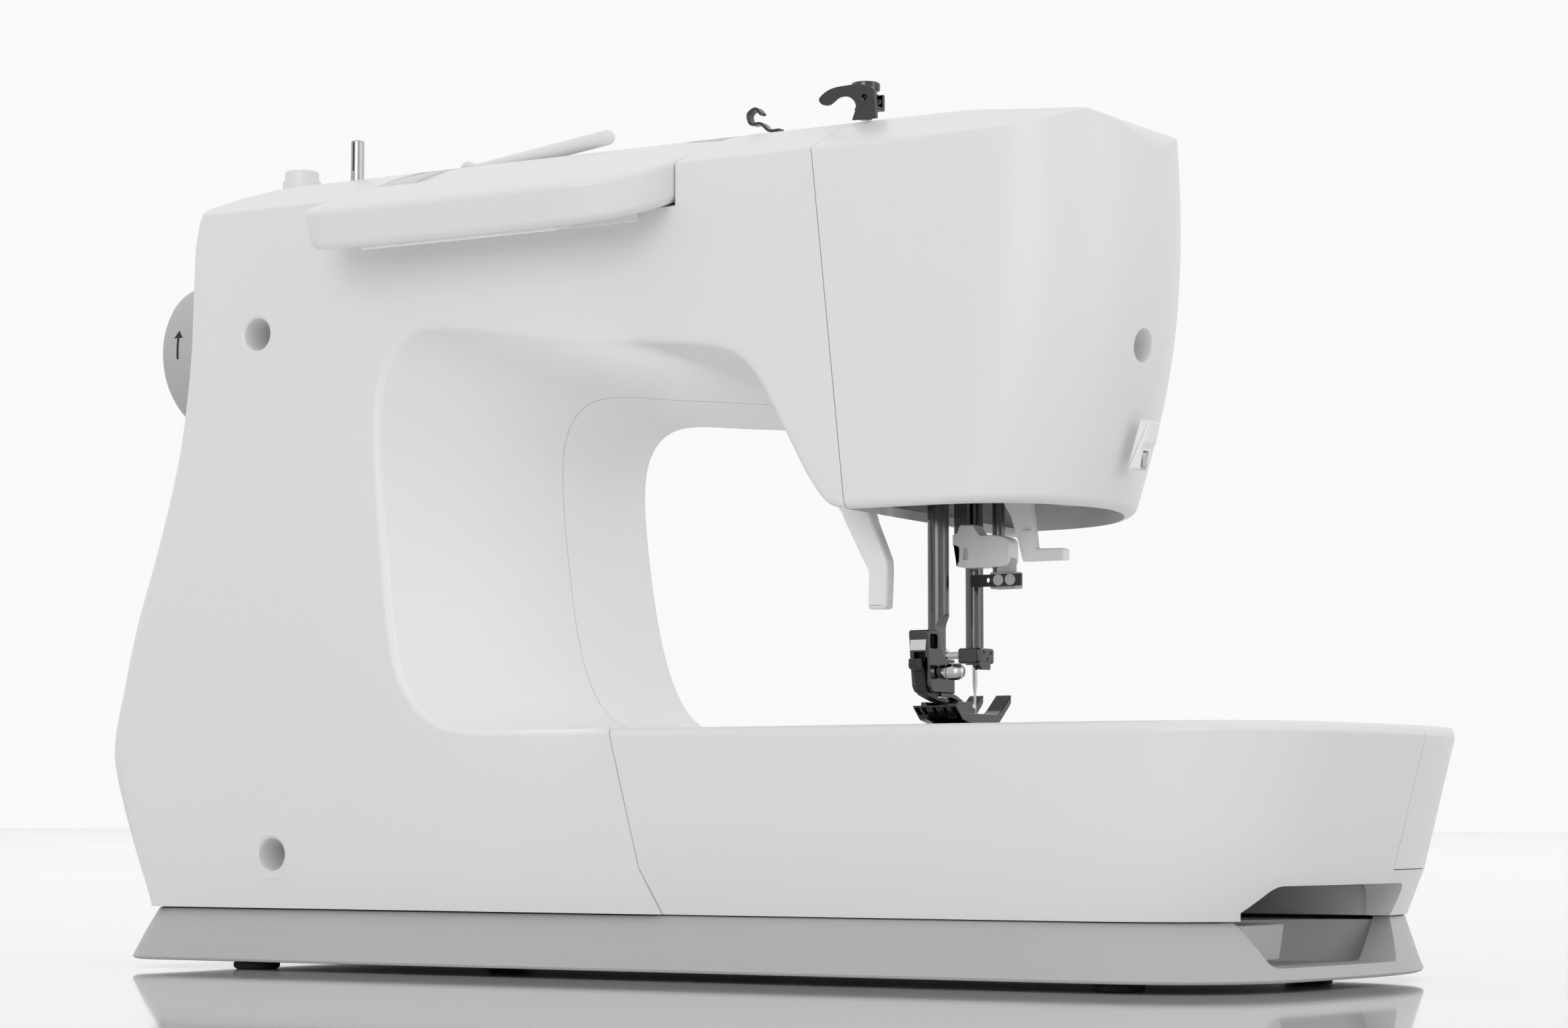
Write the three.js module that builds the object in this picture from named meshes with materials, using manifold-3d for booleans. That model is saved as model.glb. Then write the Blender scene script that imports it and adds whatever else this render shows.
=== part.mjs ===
// Free-arm domestic sewing machine with its slide-on accessory box, folding rear handle and drop-in bobbin.
// Millimetres, +Z up. The drawing frame has its origin on the floor under the needle:
// +X towards the handwheel, +Y towards the rear. The last step moves the whole machine so that the
// centre of its footprint is the origin.
import * as THREE from "three";
import { mergeVertices } from "three/addons/utils/BufferGeometryUtils.js";
import Module from "manifold-3d";

const wasm = await Module();
wasm.setup();

// ---------------------------------------------------------------- driving dimensions
const GAP = 0.3; // clearance between neighbouring pieces
const WALL = 3.0; // wall of the covers

const Y_REAR = 67; // rear face of the covers
const Y_FRONT = -52; // front face of the arm and the column
const Y_BED_FRONT = -112; // front face of the bed
const Y_SPLIT = -13; // where the rear cover meets the front cover
const EDGE_R = 7; // rounding of the covers' front and rear edges

const FOOT_H = 3; // rubber feet
const BASE_TOP = 21.5; // grey base plate
const BASE_FLARE = 6.5; // the base spreads by this much from its top to its bottom
const BODY_Z0 = BASE_TOP + GAP;
const CREASE_Z = 37; // crease line round the white body
const BED_Z = 83; // sewing surface
const HEAD_Z = 152; // underside of the head
const CREST_Z = 270; // crisp edge between the rear face and the roof

const SHAFT_Z = 228; // upper shaft and handwheel
const WHEEL_R = 29.5;
const WHEEL_X0 = 297.5;
const WHEEL_X1 = 335;

const NEEDLE_BAR_R = 3;
const PRESSER_BAR_R = 3.5;
const PRESSER_Y = 24.3;

const HOOK_Y = -24; // vertical axis of the horizontal hook
const HOOK_R = 21.5;
const BOBBIN_R = 10.3;
const BOBBIN_H = 11;

const ARM_X0 = -116; // free arm
const ARM_Y0 = -52;
const ARM_Y1 = 38;
const ARM_Z0 = 34;

const HANDLE_TILT = 18; // degrees: slope of the roof's rear side and of the folded handle
const HANDLE_X0 = 76;
const HANDLE_X1 = 212.5;
const HANDLE_Y = 100; // outer face of the folded handle
const HANDLE_PIVOT_Y = 34;
const HANDLE_PIVOT_Z = 274;

// ---------------------------------------------------------------- solids
function toSolid(geometry) {
  const g = geometry.clone();
  g.deleteAttribute("normal");
  g.deleteAttribute("uv");
  const merged = mergeVertices(g, 1e-4);
  const index = merged.index.array;
  const mesh = new wasm.Mesh({
    numProp: 3,
    vertProperties: new Float32Array(merged.attributes.position.array),
    triVerts: new Uint32Array(index),
  });
  return new wasm.Manifold(mesh);
}

function toGeometry(solid) {
  const mesh = solid.getMesh();
  const g = new THREE.BufferGeometry();
  g.setAttribute("position", new THREE.BufferAttribute(mesh.vertProperties, mesh.numProp));
  g.setIndex(new THREE.BufferAttribute(mesh.triVerts, 1));
  return g;
}

const union = (...solids) => solids.reduce((a, b) => a.add(b));
const cut = (solid, ...tools) => tools.reduce((a, b) => a.subtract(b), solid);
const common = (...solids) => solids.reduce((a, b) => a.intersect(b));

function box(x0, x1, y0, y1, z0, z1) {
  const g = new THREE.BoxGeometry(x1 - x0, y1 - y0, z1 - z0);
  g.translate((x0 + x1) / 2, (y0 + y1) / 2, (z0 + z1) / 2);
  return toSolid(g);
}

function prism(points, depth) {
  const shape = new THREE.Shape(points.map(([a, b]) => new THREE.Vector2(a, b)));
  return new THREE.ExtrudeGeometry(shape, { depth, bevelEnabled: false, curveSegments: 1 });
}

// Outline in X and Y, drawn up from z0 to z1.
function prismXY(points, z0, z1) {
  const g = prism(points, z1 - z0);
  g.translate(0, 0, z0);
  return toSolid(g);
}

// Outline in X and Z, drawn along Y.
function prismXZ(points, y0, y1) {
  const g = prism(points, y1 - y0);
  g.rotateX(Math.PI / 2);
  g.translate(0, y1, 0);
  return toSolid(g);
}

// Outline in Y and Z, drawn along X.
function prismYZ(points, x0, x1) {
  const g = prism(points, x1 - x0);
  const toX = new THREE.Matrix4().makeBasis(
    new THREE.Vector3(0, 1, 0),
    new THREE.Vector3(0, 0, 1),
    new THREE.Vector3(1, 0, 0),
  );
  g.applyMatrix4(toX);
  g.translate(x0, 0, 0);
  return toSolid(g);
}

// Turned body: profile of [radius, height] from axis to axis, about an axis through (x, y, z).
function turned(profile, axis, x, y, z, segments = 32) {
  const g = new THREE.LatheGeometry(
    profile.map(([r, h]) => new THREE.Vector2(Math.max(r, 0), h)),
    segments,
  );
  if (axis === "z") g.rotateX(Math.PI / 2);
  if (axis === "x") g.rotateZ(-Math.PI / 2);
  g.translate(x, y, z);
  return toSolid(g);
}

function rod(r, a, b, axis, u, v, segments = 24) {
  const profile = [
    [0, a],
    [r, a],
    [r, b],
    [0, b],
  ];
  if (axis === "x") return turned(profile, "x", 0, u, v, segments);
  if (axis === "y") return turned(profile, "y", u, 0, v, segments);
  return turned(profile, "z", u, v, 0, segments);
}

// Skin through rings of equal length, each ring a list of [x, y, z]; the two end rings are closed flat.
function loft(rings, capAxes) {
  const n = rings[0].length;
  const position = rings.flat(2);
  const index = [];
  for (let k = 0; k + 1 < rings.length; k++) {
    for (let i = 0; i < n; i++) {
      const j = (i + 1) % n;
      const a = k * n + i;
      const b = k * n + j;
      index.push(a, b, b + n, a, b + n, a + n);
    }
  }
  const flat = (ring) => ring.map((p) => new THREE.Vector2(p[capAxes[0]], p[capAxes[1]]));
  const last = (rings.length - 1) * n;
  for (const [a, b, c] of THREE.ShapeUtils.triangulateShape(flat(rings[0]), [])) {
    index.push(c, b, a);
  }
  for (const [a, b, c] of THREE.ShapeUtils.triangulateShape(flat(rings.at(-1)), [])) {
    index.push(last + a, last + b, last + c);
  }
  const g = new THREE.BufferGeometry();
  g.setAttribute("position", new THREE.BufferAttribute(new Float32Array(position), 3));
  g.setIndex(index);
  const solid = toSolid(g);
  if (solid.volume() > 0) return solid;
  const turnedRound = [];
  for (let i = 0; i < index.length; i += 3) turnedRound.push(index[i], index[i + 2], index[i + 1]);
  g.setIndex(turnedRound);
  return toSolid(g);
}

// Moves an anticlockwise outline inwards by d along its corner normals.
function inset(points, d) {
  const n = points.length;
  return points.map((p, i) => {
    const a = points[(i + n - 1) % n];
    const b = points[(i + 1) % n];
    const u = new THREE.Vector2(p[0] - a[0], p[1] - a[1]).normalize();
    const v = new THREE.Vector2(b[0] - p[0], b[1] - p[1]).normalize();
    const normal = new THREE.Vector2(-(u.y + v.y), u.x + v.x).normalize();
    const reach = Math.min(1.6, 1 / Math.max(0.3, normal.dot(new THREE.Vector2(-u.y, u.x))));
    return [p[0] + normal.x * d * reach, p[1] + normal.y * d * reach];
  });
}

// Smooth open curve through points, sampled n times.
function smooth(points, n) {
  const curve = new THREE.CatmullRomCurve3(
    points.map(([a, b]) => new THREE.Vector3(a, b, 0)),
    false,
    "centripetal",
  );
  return curve.getSpacedPoints(n).map((p) => [p.x, p.y]);
}

function rotated(solid, axis, degrees, x, y, z) {
  const turn = { x: [degrees, 0, 0], y: [0, degrees, 0], z: [0, 0, degrees] }[axis];
  return solid.translate([-x, -y, -z]).rotate(turn).translate([x, y, z]);
}

// ---------------------------------------------------------------- outlines of the covers
// Waisted +X end of the machine, from the floor up: [x, z].
const END_CURVE = smooth(
  [
    [302, 6],
    [305.5, 22],
    [313, 40],
    [320, 58],
    [325, 76],
    [321, 97],
    [314.5, 122],
    [303.5, 155],
    [295.5, 186],
    [291.8, 218],
    [291, 246],
    [290, 262],
    [287, 272],
    [280, 280.5],
    [269, 286],
    [256, 289.5],
    [235, 300],
  ],
  28,
);

// Throat boundary in the rear face and in the front face, from the head's underside round to the bed.
const THROAT_REAR = [
  [10, 152],
  [17, 154],
  [24, 162],
  [31, 174],
  [38, 186.5],
  [44, 196.5],
  [50, 203],
  [58, 206.8],
  [100, 212.2],
  [140, 217.3],
  [172, 221.4],
  [184, 221],
  [192, 216.5],
  [197.5, 208],
  [200, 195],
  [199.5, 175],
  [197, 148],
  [194, 122],
  [190, 104],
  [182, 92],
  [172, 85.5],
  [158, BED_Z],
];
const THROAT_FRONT = [
  [10, 150],
  [17, 151],
  [23, 156],
  [30, 164],
  [37, 173],
  [43, 180],
  [50, 185],
  [58, 188],
  [90, 191],
  [120, 193.5],
  [146, 195.5],
  [155, 194],
  [161, 190],
  [165, 183],
  [166.5, 172],
  [165.5, 156],
  [163, 138],
  [159.5, 120],
  [154, 103],
  [147.5, 92],
  [140, 86],
  [130, BED_Z],
];

function bodyOutline(t) {
  const throat = THROAT_REAR.map(([x, z], i) => [
    x + (THROAT_FRONT[i][0] - x) * t,
    z + (THROAT_FRONT[i][1] - z) * t,
  ]);
  return [[40, 6], ...END_CURVE, [-40, 300], [-40, HEAD_Z - 2 * t], ...throat, [40, BED_Z]];
}

const along = (y) => (Y_REAR - y) / (Y_REAR - Y_FRONT);

// Column, arm and bed between the rear and the front face, with rounded edges, grown inwards by wall.
function bodyCore(wall) {
  const steps = wall > 0 ? 1 : 4;
  const r = wall > 0 ? 0.01 : EDGE_R;
  const rear = [];
  for (let i = 0; i <= steps; i++) {
    const a = (i / steps) * (Math.PI / 2);
    rear.push([Y_REAR - wall - r * (1 - Math.cos(a)), wall + r * (1 - Math.sin(a))]);
  }
  const front = rear.map(([y, d]) => [Y_REAR + Y_FRONT - y, d]).reverse();
  return loft(
    [...rear, ...front].map(([y, d]) => inset(bodyOutline(along(y)), d).map(([x, z]) => [x, y, z])),
    [0, 2],
  );
}

// Roof line over the depth of the machine: [y, z].
const ROOF = [
  [Y_REAR + 0.2, CREST_Z - 2.5],
  [Y_REAR - 0.8, CREST_Z + 0.3],
  [56, 274.8],
  [43, 280],
  [30, 284.4],
  [16, 287.4],
  [2, 288.5],
  [-12, 287.6],
  [-26, 284.6],
  [-38, 279.6],
  [-46, 274.5],
  [-51, 269],
  [Y_FRONT - 0.2, 262],
];

// Envelope of the covers seen from the side.
function roofEnvelope(wall) {
  const roof = ROOF.map(([y, z]) => [Math.max(Math.min(y, Y_REAR - wall), Y_FRONT + wall), z - wall * 1.05]);
  const floor = wall > 0 ? 0 : BODY_Z0;
  const skirt = wall > 0 ? [[Y_REAR - wall - 3.5, floor]] : [[Y_REAR - 3.5, floor]];
  return prismYZ(
    [[-200, floor], ...skirt, [Y_REAR - wall + 0.2, CREASE_Z], ...roof, [-200, 262 - wall * 1.05]],
    -200,
    400,
  );
}

// Bed in front of the column, flowing up into the column's front face.
function bedFront(wall) {
  const z0 = wall > 0 ? 0 : BODY_Z0;
  const side = [
    [-40, z0],
    [-40, 128 - wall],
    [Y_FRONT + wall, 128 - wall],
    [-53 + wall, 112 - wall],
    [-57 + wall, 101 - wall],
    [-66, 92 - wall],
    [-80, 86 - wall],
    [-98, 83.2 - wall],
    [-106, 81.6 - wall],
    [-111 + wall, 77 - wall],
    [Y_BED_FRONT + wall, 68 - wall],
    [Y_BED_FRONT + wall, CREASE_Z],
    [Y_BED_FRONT + 3.5 + wall, z0],
  ];
  const corner = [[40, -30]];
  corner.push([40, Y_BED_FRONT + wall]);
  for (let i = 0; i <= 6; i++) {
    const a = (i / 6 - 1) * (Math.PI / 2);
    corner.push([294 + (32 - wall) * Math.cos(a), -80 + (32 - wall) * Math.sin(a)]);
  }
  corner.push([326 - wall, -30]);
  return cut(
    common(
      prismYZ(side, 40, 345),
      prismXZ(inset(bodyOutline(1), wall + 0.02), -130, -30),
      prismXY(corner, -5, 160),
    ),
    box(40, 178 + wall, -140, Y_FRONT + wall, BED_Z - wall, 160),
  );
}

// The accessory box meets the body on a plane that leans with height.
const seamX = (z) => 80 + ((z - 22) * 20) / 61;
const FACE_SEAM = [
  [-5, 0],
  [10, 150],
  [22.5, 270],
  [26.5, 280],
  [30.5, 284],
  [35, 289],
  [37, 320],
];

function halfSpace(lineX, sign, shift) {
  const far = sign > 0 ? 420 : -260;
  const points = [
    [lineX(0) + shift, 0],
    [lineX(0) + shift + (far - lineX(0) - shift), 0],
    [far, 320],
    [lineX(320) + shift, 320],
  ];
  return prismXZ(sign > 0 ? points : points.reverse(), -160, 160);
}

// Plan of the head at a height: rounded at its free end, [x, y].
function headRing(z, wall) {
  const levels = [
    [140, -60],
    [152, -64.5],
    [171, -70.8],
    [190, -76],
    [211, -79.2],
    [240, -80.6],
    [270, -79.6],
    [300, -77],
  ];
  let end = levels[0][1];
  for (let i = 0; i + 1 < levels.length; i++) {
    const [z0, x0] = levels[i];
    const [z1, x1] = levels[i + 1];
    if (z >= z0 && z <= z1) end = x0 + ((x1 - x0) * (z - z0)) / (z1 - z0);
  }
  const e = end + wall;
  const r = Y_REAR - wall;
  const f = Y_FRONT + wall;
  const plan = [
    [60, f],
    [60, r],
    [e + 38, r],
    [e + 27, r - 1.6],
    [e + 17, r - 6],
    [e + 9, r - 13.5],
    [e + 3.4, r - 24],
    [e + 0.7, r - 36],
    [e, r - 46],
    [e + 0.8, f + 63],
    [e + 3.6, f + 52],
    [e + 8.6, f + 40],
    [e + 15.5, f + 28],
    [e + 24, f + 17],
    [e + 34, f + 8.5],
    [e + 46, f + 2.6],
    [e + 60, f],
  ];
  return plan.map(([x, y]) => [x, y, z]);
}

function headLoft(wall, zBottom) {
  const heights = [zBottom, 171, 190, 211, 240, 270, 300];
  return loft(
    heights.map((z) => headRing(z, wall)),
    [0, 1],
  );
}

// Plan of the bed's free end at its widest, [x, y], for the box and, moved in, for the base.
function bedPlan(x1, endX, rearY, frontY) {
  return [
    [x1, frontY],
    [x1, rearY],
    [endX + 62, rearY],
    [endX + 42, rearY - 2],
    [endX + 26, rearY - 8],
    [endX + 14, rearY - 19],
    [endX + 7, rearY - 34],
    [endX + 3, rearY - 60],
    [endX, rearY - 95],
    [endX + 1, rearY - 122],
    [endX + 6, rearY - 143],
    [endX + 17, frontY + 17],
    [endX + 32, frontY + 6],
    [endX + 50, frontY],
  ];
}

function boxLoft(wall, z0, z1) {
  const levels = [
    [22, -125.4, Y_REAR - 3.3, Y_BED_FRONT + 3.3],
    [CREASE_Z, -133.2, Y_REAR, Y_BED_FRONT],
    [79, -144.5, Y_REAR, Y_BED_FRONT],
    [BED_Z - 1, -144, Y_REAR - 0.8, Y_BED_FRONT + 0.8],
    [BED_Z, -142.2, Y_REAR - 2.6, Y_BED_FRONT + 2.6],
  ];
  const at = (z) => {
    const zc = Math.min(Math.max(z, 22), BED_Z);
    let i = 0;
    while (i + 2 < levels.length && levels[i + 1][0] < zc) i++;
    const t = (zc - levels[i][0]) / (levels[i + 1][0] - levels[i][0]);
    const v = levels[i].map((a, k) => a + (levels[i + 1][k] - a) * t);
    return bedPlan(160, v[1] + wall, v[2] - wall, v[3] + wall).map(([x, y]) => [x, y, z]);
  };
  const inner = levels.map((l) => l[0]).filter((z) => z > z0 + 0.5 && z < z1 - 0.5);
  const heights = wall > 0 ? [z0, ...inner.filter((z) => z < 80), z1] : [z0, ...inner, z1];
  return loft(heights.map(at), [0, 1]);
}

const parts = [];
function add(name, solid, color, roughness = 0.5, metalness = 0) {
  parts.push({ name, solid, color, roughness, metalness });
}
const WHITE = 0xf1f1ef;
const GREY = 0xa9abac;
const STEEL = 0xb9bcc0;
const BLACK = 0x1b1c1e;

// ---------------------------------------------------------------- folding handle
// Drawn flat, its top at z = 0 and its pivot at y = 0, then tilted down towards the rear.
const tiltReach = (HANDLE_Y - HANDLE_PIVOT_Y) / Math.cos(THREE.MathUtils.degToRad(HANDLE_TILT));
const HANDLE_T = 13.5;
const HANDLE_TOP = 281; // top of the handle over its pivot

function handleSlab(grow) {
  const x0 = HANDLE_X0 - grow;
  const x1 = HANDLE_X1 + grow;
  const y1 = tiltReach + grow;
  const outline = [
    [x0, -7 - grow],
    [x1, -7 - grow],
    [x1, y1 - 11],
    [x1 - 3, y1 - 4],
    [x1 - 10, y1],
    [x0 + 22, y1],
    [x0 + 10, y1 - 3.5],
    [x0 + 2.5, y1 - 13],
    [x0, y1 - 26],
  ];
  return prismXY(outline, -HANDLE_T - grow, grow > 0 ? 30 : 0);
}
function placeHandle(solid) {
  return solid.rotate([-HANDLE_TILT, 0, 0]).translate([0, HANDLE_PIVOT_Y, HANDLE_TOP]);
}
const handleOpening = prismXY(
  [
    [HANDLE_X0 + 18, -20],
    [HANDLE_X1 - 18, -20],
    [HANDLE_X1 - 18, tiltReach - 27],
    [HANDLE_X0 + 21, tiltReach - 27],
    [HANDLE_X0 + 18, tiltReach - 29.4],
  ],
  -30,
  30,
);
const gripGroove = box(HANDLE_X0 + 30, HANDLE_X1 - 24, tiltReach - 22, tiltReach - 4, -30, -HANDLE_T + 4);
add("carry_handle", placeHandle(cut(handleSlab(0), handleOpening, gripGroove)), WHITE, 0.38);
const gripX0 = HANDLE_X0 + 30 + GAP;
const gripX1 = HANDLE_X1 - 24 - GAP;
add(
  "handle_grip",
  placeHandle(
    box(gripX0, gripX1, tiltReach - 22 + GAP, tiltReach - 4 - GAP, -HANDLE_T - 1.5, -HANDLE_T + 4 - GAP),
  ),
  0xfafafa,
  0.3,
);

// Pockets of the two handle arms in the roof.
const armPocket = (x0, x1, grow) =>
  placeHandle(box(x0 - grow, x1 + grow, -9 - grow, 60, -HANDLE_T - grow, 40));
const pocketA = [HANDLE_X0, HANDLE_X0 + 18];
const pocketB = [HANDLE_X1 - 18, HANDLE_X1];
const pivotWell = (x0, x1, grow) =>
  rod(12 + grow, x0 - 0.5 - grow, x1 + 0.5 + grow, "x", HANDLE_PIVOT_Y, HANDLE_PIVOT_Z, 24);
const pocketCuts = union(
  armPocket(...pocketA, 0.5),
  armPocket(...pocketB, 0.5),
  pivotWell(...pocketA, 0),
  pivotWell(...pocketB, 0),
);
const pocketBlocks = union(
  armPocket(...pocketA, 3),
  armPocket(...pocketB, 3),
  pivotWell(...pocketA, 2.5),
  pivotWell(...pocketB, 2.5),
);

// Trough of the spool pin in the roof.
const PIN_Y = 12;
const PIN_R = 2.7;
const PIN_TILT = 6.8;
const PIN_X0 = 200;
const PIN_Z0 = 286.4;
const PIN_L = 62;
const pinCut = box(145, 206, PIN_Y - 5, PIN_Y + 5, 282.4, 310);
const pinBlock = box(142.5, 208.5, PIN_Y - 7.5, PIN_Y + 7.5, 279.9, 310);

// ---------------------------------------------------------------- covers
const WINDER_X = 255;
const WINDER_Y = 10;
const STOPPER_X = 283;
const STOPPER_Y = 8;
const STOPPER_Z = 285;

const bodyOuter = union(common(bodyCore(0), roofEnvelope(0)), bedFront(0));
const bodyInner = union(common(bodyCore(WALL), roofEnvelope(WALL)), bedFront(WALL));
const clearOfSeam = union(halfSpace(seamX, 1, 3), box(-60, 420, -160, 160, 110, 320));
const stopperBoss = rod(10, 281, 300, "z", STOPPER_X, STOPPER_Y);
const hollow = cut(common(bodyInner, clearOfSeam), pocketBlocks, pinBlock, stopperBoss);

// Screw wells of the rear cover.
const WELLS = [
  [254.6, 225],
  [245.4, 40.5],
];
const wellTubes = union(...WELLS.map(([x, z]) => rod(7.4, 45, 66, "y", x, z, 20)));
const wellBores = union(...WELLS.map(([x, z]) => rod(5.2, 48, 80, "y", x, z, 20)));

let shell = cut(bodyOuter, hollow);
shell = union(shell, common(wellTubes, bodyOuter));
shell = cut(
  shell,
  wellBores,
  pocketCuts,
  pinCut,
  box(60, 110, ARM_Y0 + 3, ARM_Y1 - 3, 38, 79), // the free arm's frame comes through the bulkhead
  rod(8, 285, 340, "x", 0, SHAFT_Z, 28), // handwheel boss
  rod(7.6, STOPPER_Z, 300, "z", STOPPER_X, STOPPER_Y, 28), // seat of the winder stopper
  box(8, 44, 36, 44, 145, 192), // slot of the presser lifter lever
  box(WINDER_X - 4, WINDER_X + 10, WINDER_Y - 4, WINDER_Y + 4, 280, 300), // bobbin winder slot
);
// The upper shaft's end wall and the power inlet's window.
const INLET = { y0: 14, y1: 44, z0: 44, z1: 66 };
const SWITCH = { y0: -18, y1: -4, z0: 44, z1: 66 };
shell = cut(shell, box(300, 345, INLET.y0, INLET.y1, INLET.z0, INLET.z1));
shell = cut(shell, box(300, 345, SWITCH.y0, SWITCH.y1, SWITCH.z0, SWITCH.z1));

// Seats of the front controls.
const PATTERN = { x: 232, z: 172, r: 23 };
const LENGTH = { x: 262, z: 222, r: 13 };
const WIDTH = { x: 205, z: 236, r: 11 };
const TENSION = { x: 44, z: 246, r: 12 };
const REVERSE = { x: 212, z: 118 };
const seats = [PATTERN, LENGTH, WIDTH].map((d) => rod(3.4, -70, -40, "y", d.x, d.z, 16));
shell = cut(
  shell,
  ...seats,
  box(TENSION.x - 3.2, TENSION.x + 3.2, -70, -36, TENSION.z - 15, TENSION.z + 15),
  box(REVERSE.x - 9, REVERSE.x + 9, -75, -40, REVERSE.z - 12, REVERSE.z + 12),
);

const besideFace = (side) =>
  prismXZ(
    [[side * 400, 320], [side * 400, 0], ...FACE_SEAM.map(([x, z]) => [x + (side * GAP) / 2, z])],
    -160,
    160,
  );
const beyondFace = besideFace(1);
const beyondSeam = union(halfSpace(seamX, 1, 0), box(-40, 420, -160, 160, 110, 320));
const covers = common(shell, beyondFace, beyondSeam);
add("rear_cover", common(covers, box(-60, 420, Y_SPLIT + GAP / 2, 160, 0, 320)), WHITE, 0.42);
add("front_cover", common(covers, box(-60, 420, -160, Y_SPLIT - GAP / 2, 0, 320)), WHITE, 0.42);

// Head cover: rounded in plan, open underneath, slotted in front for the take-up lever.
const TAKE_X = 8;
// The roof falls away towards the free end of the head.
const headDome = (wall) =>
  prismXZ(
    [
      [60, 100],
      [60, 320],
      [9, 320],
      [8, 290 - wall],
      [-10, 288 - wall],
      [-28, 285.4 - wall],
      [-45, 281.8 - wall],
      [-58, 278.2 - wall],
      [-70, 273.8 - wall],
      [-80, 268.6 - wall],
      [-100, 256 - wall],
      [-100, 100],
    ],
    -100,
    100,
  );
const headOuter = common(
  headLoft(0, HEAD_Z - 1),
  roofEnvelope(0),
  headDome(0),
  box(-120, 60, -80, 90, HEAD_Z, 320),
);
const headInner = common(headLoft(2.6, 140), roofEnvelope(2.6), headDome(2.6));
const FACE_WELL = [-76.6, 26, 203];
const wellAt = (r, a, b) =>
  rotated(rod(r, a, b, "x", 0, 0, 20), "z", -12, 0, 0, 0).translate(FACE_WELL);
let face = cut(headOuter, headInner);
face = union(face, common(wellAt(7.2, -14, 12), headOuter));
face = cut(
  face,
  wellAt(5.2, -30, 9.5),
  box(TAKE_X - 3, TAKE_X + 3, -60, -24, 206, 300), // take-up slot
);
face = common(face, besideFace(-1));
add("face_cover", face, WHITE, 0.42);

// ---------------------------------------------------------------- base and feet
const basePlan = (grow) => {
  const x1 = 308.5 + grow;
  const r = 14;
  const rear = Y_REAR - 4.8 + grow;
  const front = Y_BED_FRONT + 4 - grow;
  const ring = bedPlan(x1 - r, -124 - grow * 1.35, rear, front);
  const end = [];
  for (let i = 0; i <= 4; i++) {
    const a = (-1 + i / 4) * (Math.PI / 2);
    end.push([x1 - r + r * Math.cos(a), front + r + r * Math.sin(a)]);
  }
  for (let i = 1; i <= 4; i++) {
    const a = (i / 4) * (Math.PI / 2);
    end.push([x1 - r + r * Math.cos(a), rear - r + r * Math.sin(a)]);
  }
  return [...end, ...ring.slice(2)];
};
const baseRings = [
  [FOOT_H, BASE_FLARE - 1],
  [FOOT_H + 1.2, BASE_FLARE],
  [FOOT_H + 9, BASE_FLARE * 0.56],
  [BASE_TOP - 0.8, 0.2],
  [BASE_TOP, -0.7],
];
const baseOuter = loft(
  baseRings.map(([z, g]) => basePlan(g).map(([x, y]) => [x, y, z])),
  [0, 1],
);
const baseInner = prismXY(inset(basePlan(0), 6), FOOT_H + 4, BASE_TOP + 2);
// Finger notch under the free end, half of it in the base and half in the accessory box.
const NOTCH_Y0 = -52;
const NOTCH_Y1 = 45;
const baseNotch = prismYZ(
  [
    [NOTCH_Y0 - 4, 7.5],
    [NOTCH_Y1 - 14, 7.5],
    [NOTCH_Y1 - 9, 9.5],
    [NOTCH_Y1 + 4, 24],
    [NOTCH_Y0 - 4, 24],
  ],
  -160,
  -112,
);
const boxNotch = prismYZ(
  [
    [NOTCH_Y0 + 1, 18],
    [NOTCH_Y1, 18],
    [NOTCH_Y1 - 5, 26],
    [NOTCH_Y1 - 11, 31.5],
    [NOTCH_Y1 - 16, 32.5],
    [NOTCH_Y0 + 4, 32.5],
    [NOTCH_Y0, 29],
  ],
  -160,
  ARM_X0 + 2,
);
const FEET = [
  [262, 54],
  [-78, 50],
  [258, -92],
  [-78, -92],
];
let base = cut(baseOuter, baseInner, baseNotch);
const notchWall = common(
  box(-116, -109, NOTCH_Y0 - 10, NOTCH_Y1 + 4, FOOT_H + 1, BASE_TOP - 1),
  prismXY(inset(basePlan(0), 3), 0, BASE_TOP),
);
base = union(
  base,
  notchWall,
  ...[0, 90, 180].map((x) => box(x, x + 3, -104, 58, FOOT_H + 2, 16)),
);
base = cut(base, ...FEET.map(([x, y]) => rod(5.3, 0, 6, "z", x, y, 16)));
add("base_plate", base, GREY, 0.5);
FEET.forEach(([x, y], i) => {
  const foot = turned(
    [
      [0, 0],
      [7.4, 0],
      [8.2, 0.8],
      [8.2, FOOT_H - GAP],
      [5, FOOT_H - GAP],
      [5, 5.6],
      [0, 5.6],
    ],
    "z",
    x,
    y,
    0,
    20,
  );
  add(`foot_${["rear_right", "rear_left", "front_right", "front_left"][i]}`, foot, BLACK, 0.8);
});

// ---------------------------------------------------------------- free arm, plates and accessory box
const armOuter = common(
  box(ARM_X0, 130, ARM_Y0, ARM_Y1, ARM_Z0, BED_Z - 0.1),
  prismXY(
    [
      [130, ARM_Y0],
      [130, ARM_Y1],
      [ARM_X0 + 12, ARM_Y1],
      [ARM_X0 + 3.5, ARM_Y1 - 3.5],
      [ARM_X0, ARM_Y1 - 12],
      [ARM_X0, ARM_Y0 + 12],
      [ARM_X0 + 3.5, ARM_Y0 + 3.5],
      [ARM_X0 + 12, ARM_Y0],
    ],
    0,
    100,
  ),
);
const PLATE = { x0: -44, x1: 34, y0: -47, y1: 30, split: -19 };
let arm = cut(
  armOuter,
  box(ARM_X0 + 2.5, 140, ARM_Y0 + 2.5, ARM_Y1 - 2.5, ARM_Z0 + 2.5, BED_Z - 3),
  box(PLATE.x0 - GAP, PLATE.x1 + GAP, PLATE.y0 - GAP, PLATE.y1 + GAP, BED_Z - 10, 100),
);
arm = common(arm, halfSpace(seamX, -1, -GAP));
add("free_arm_cover", arm, WHITE, 0.42);

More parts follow.
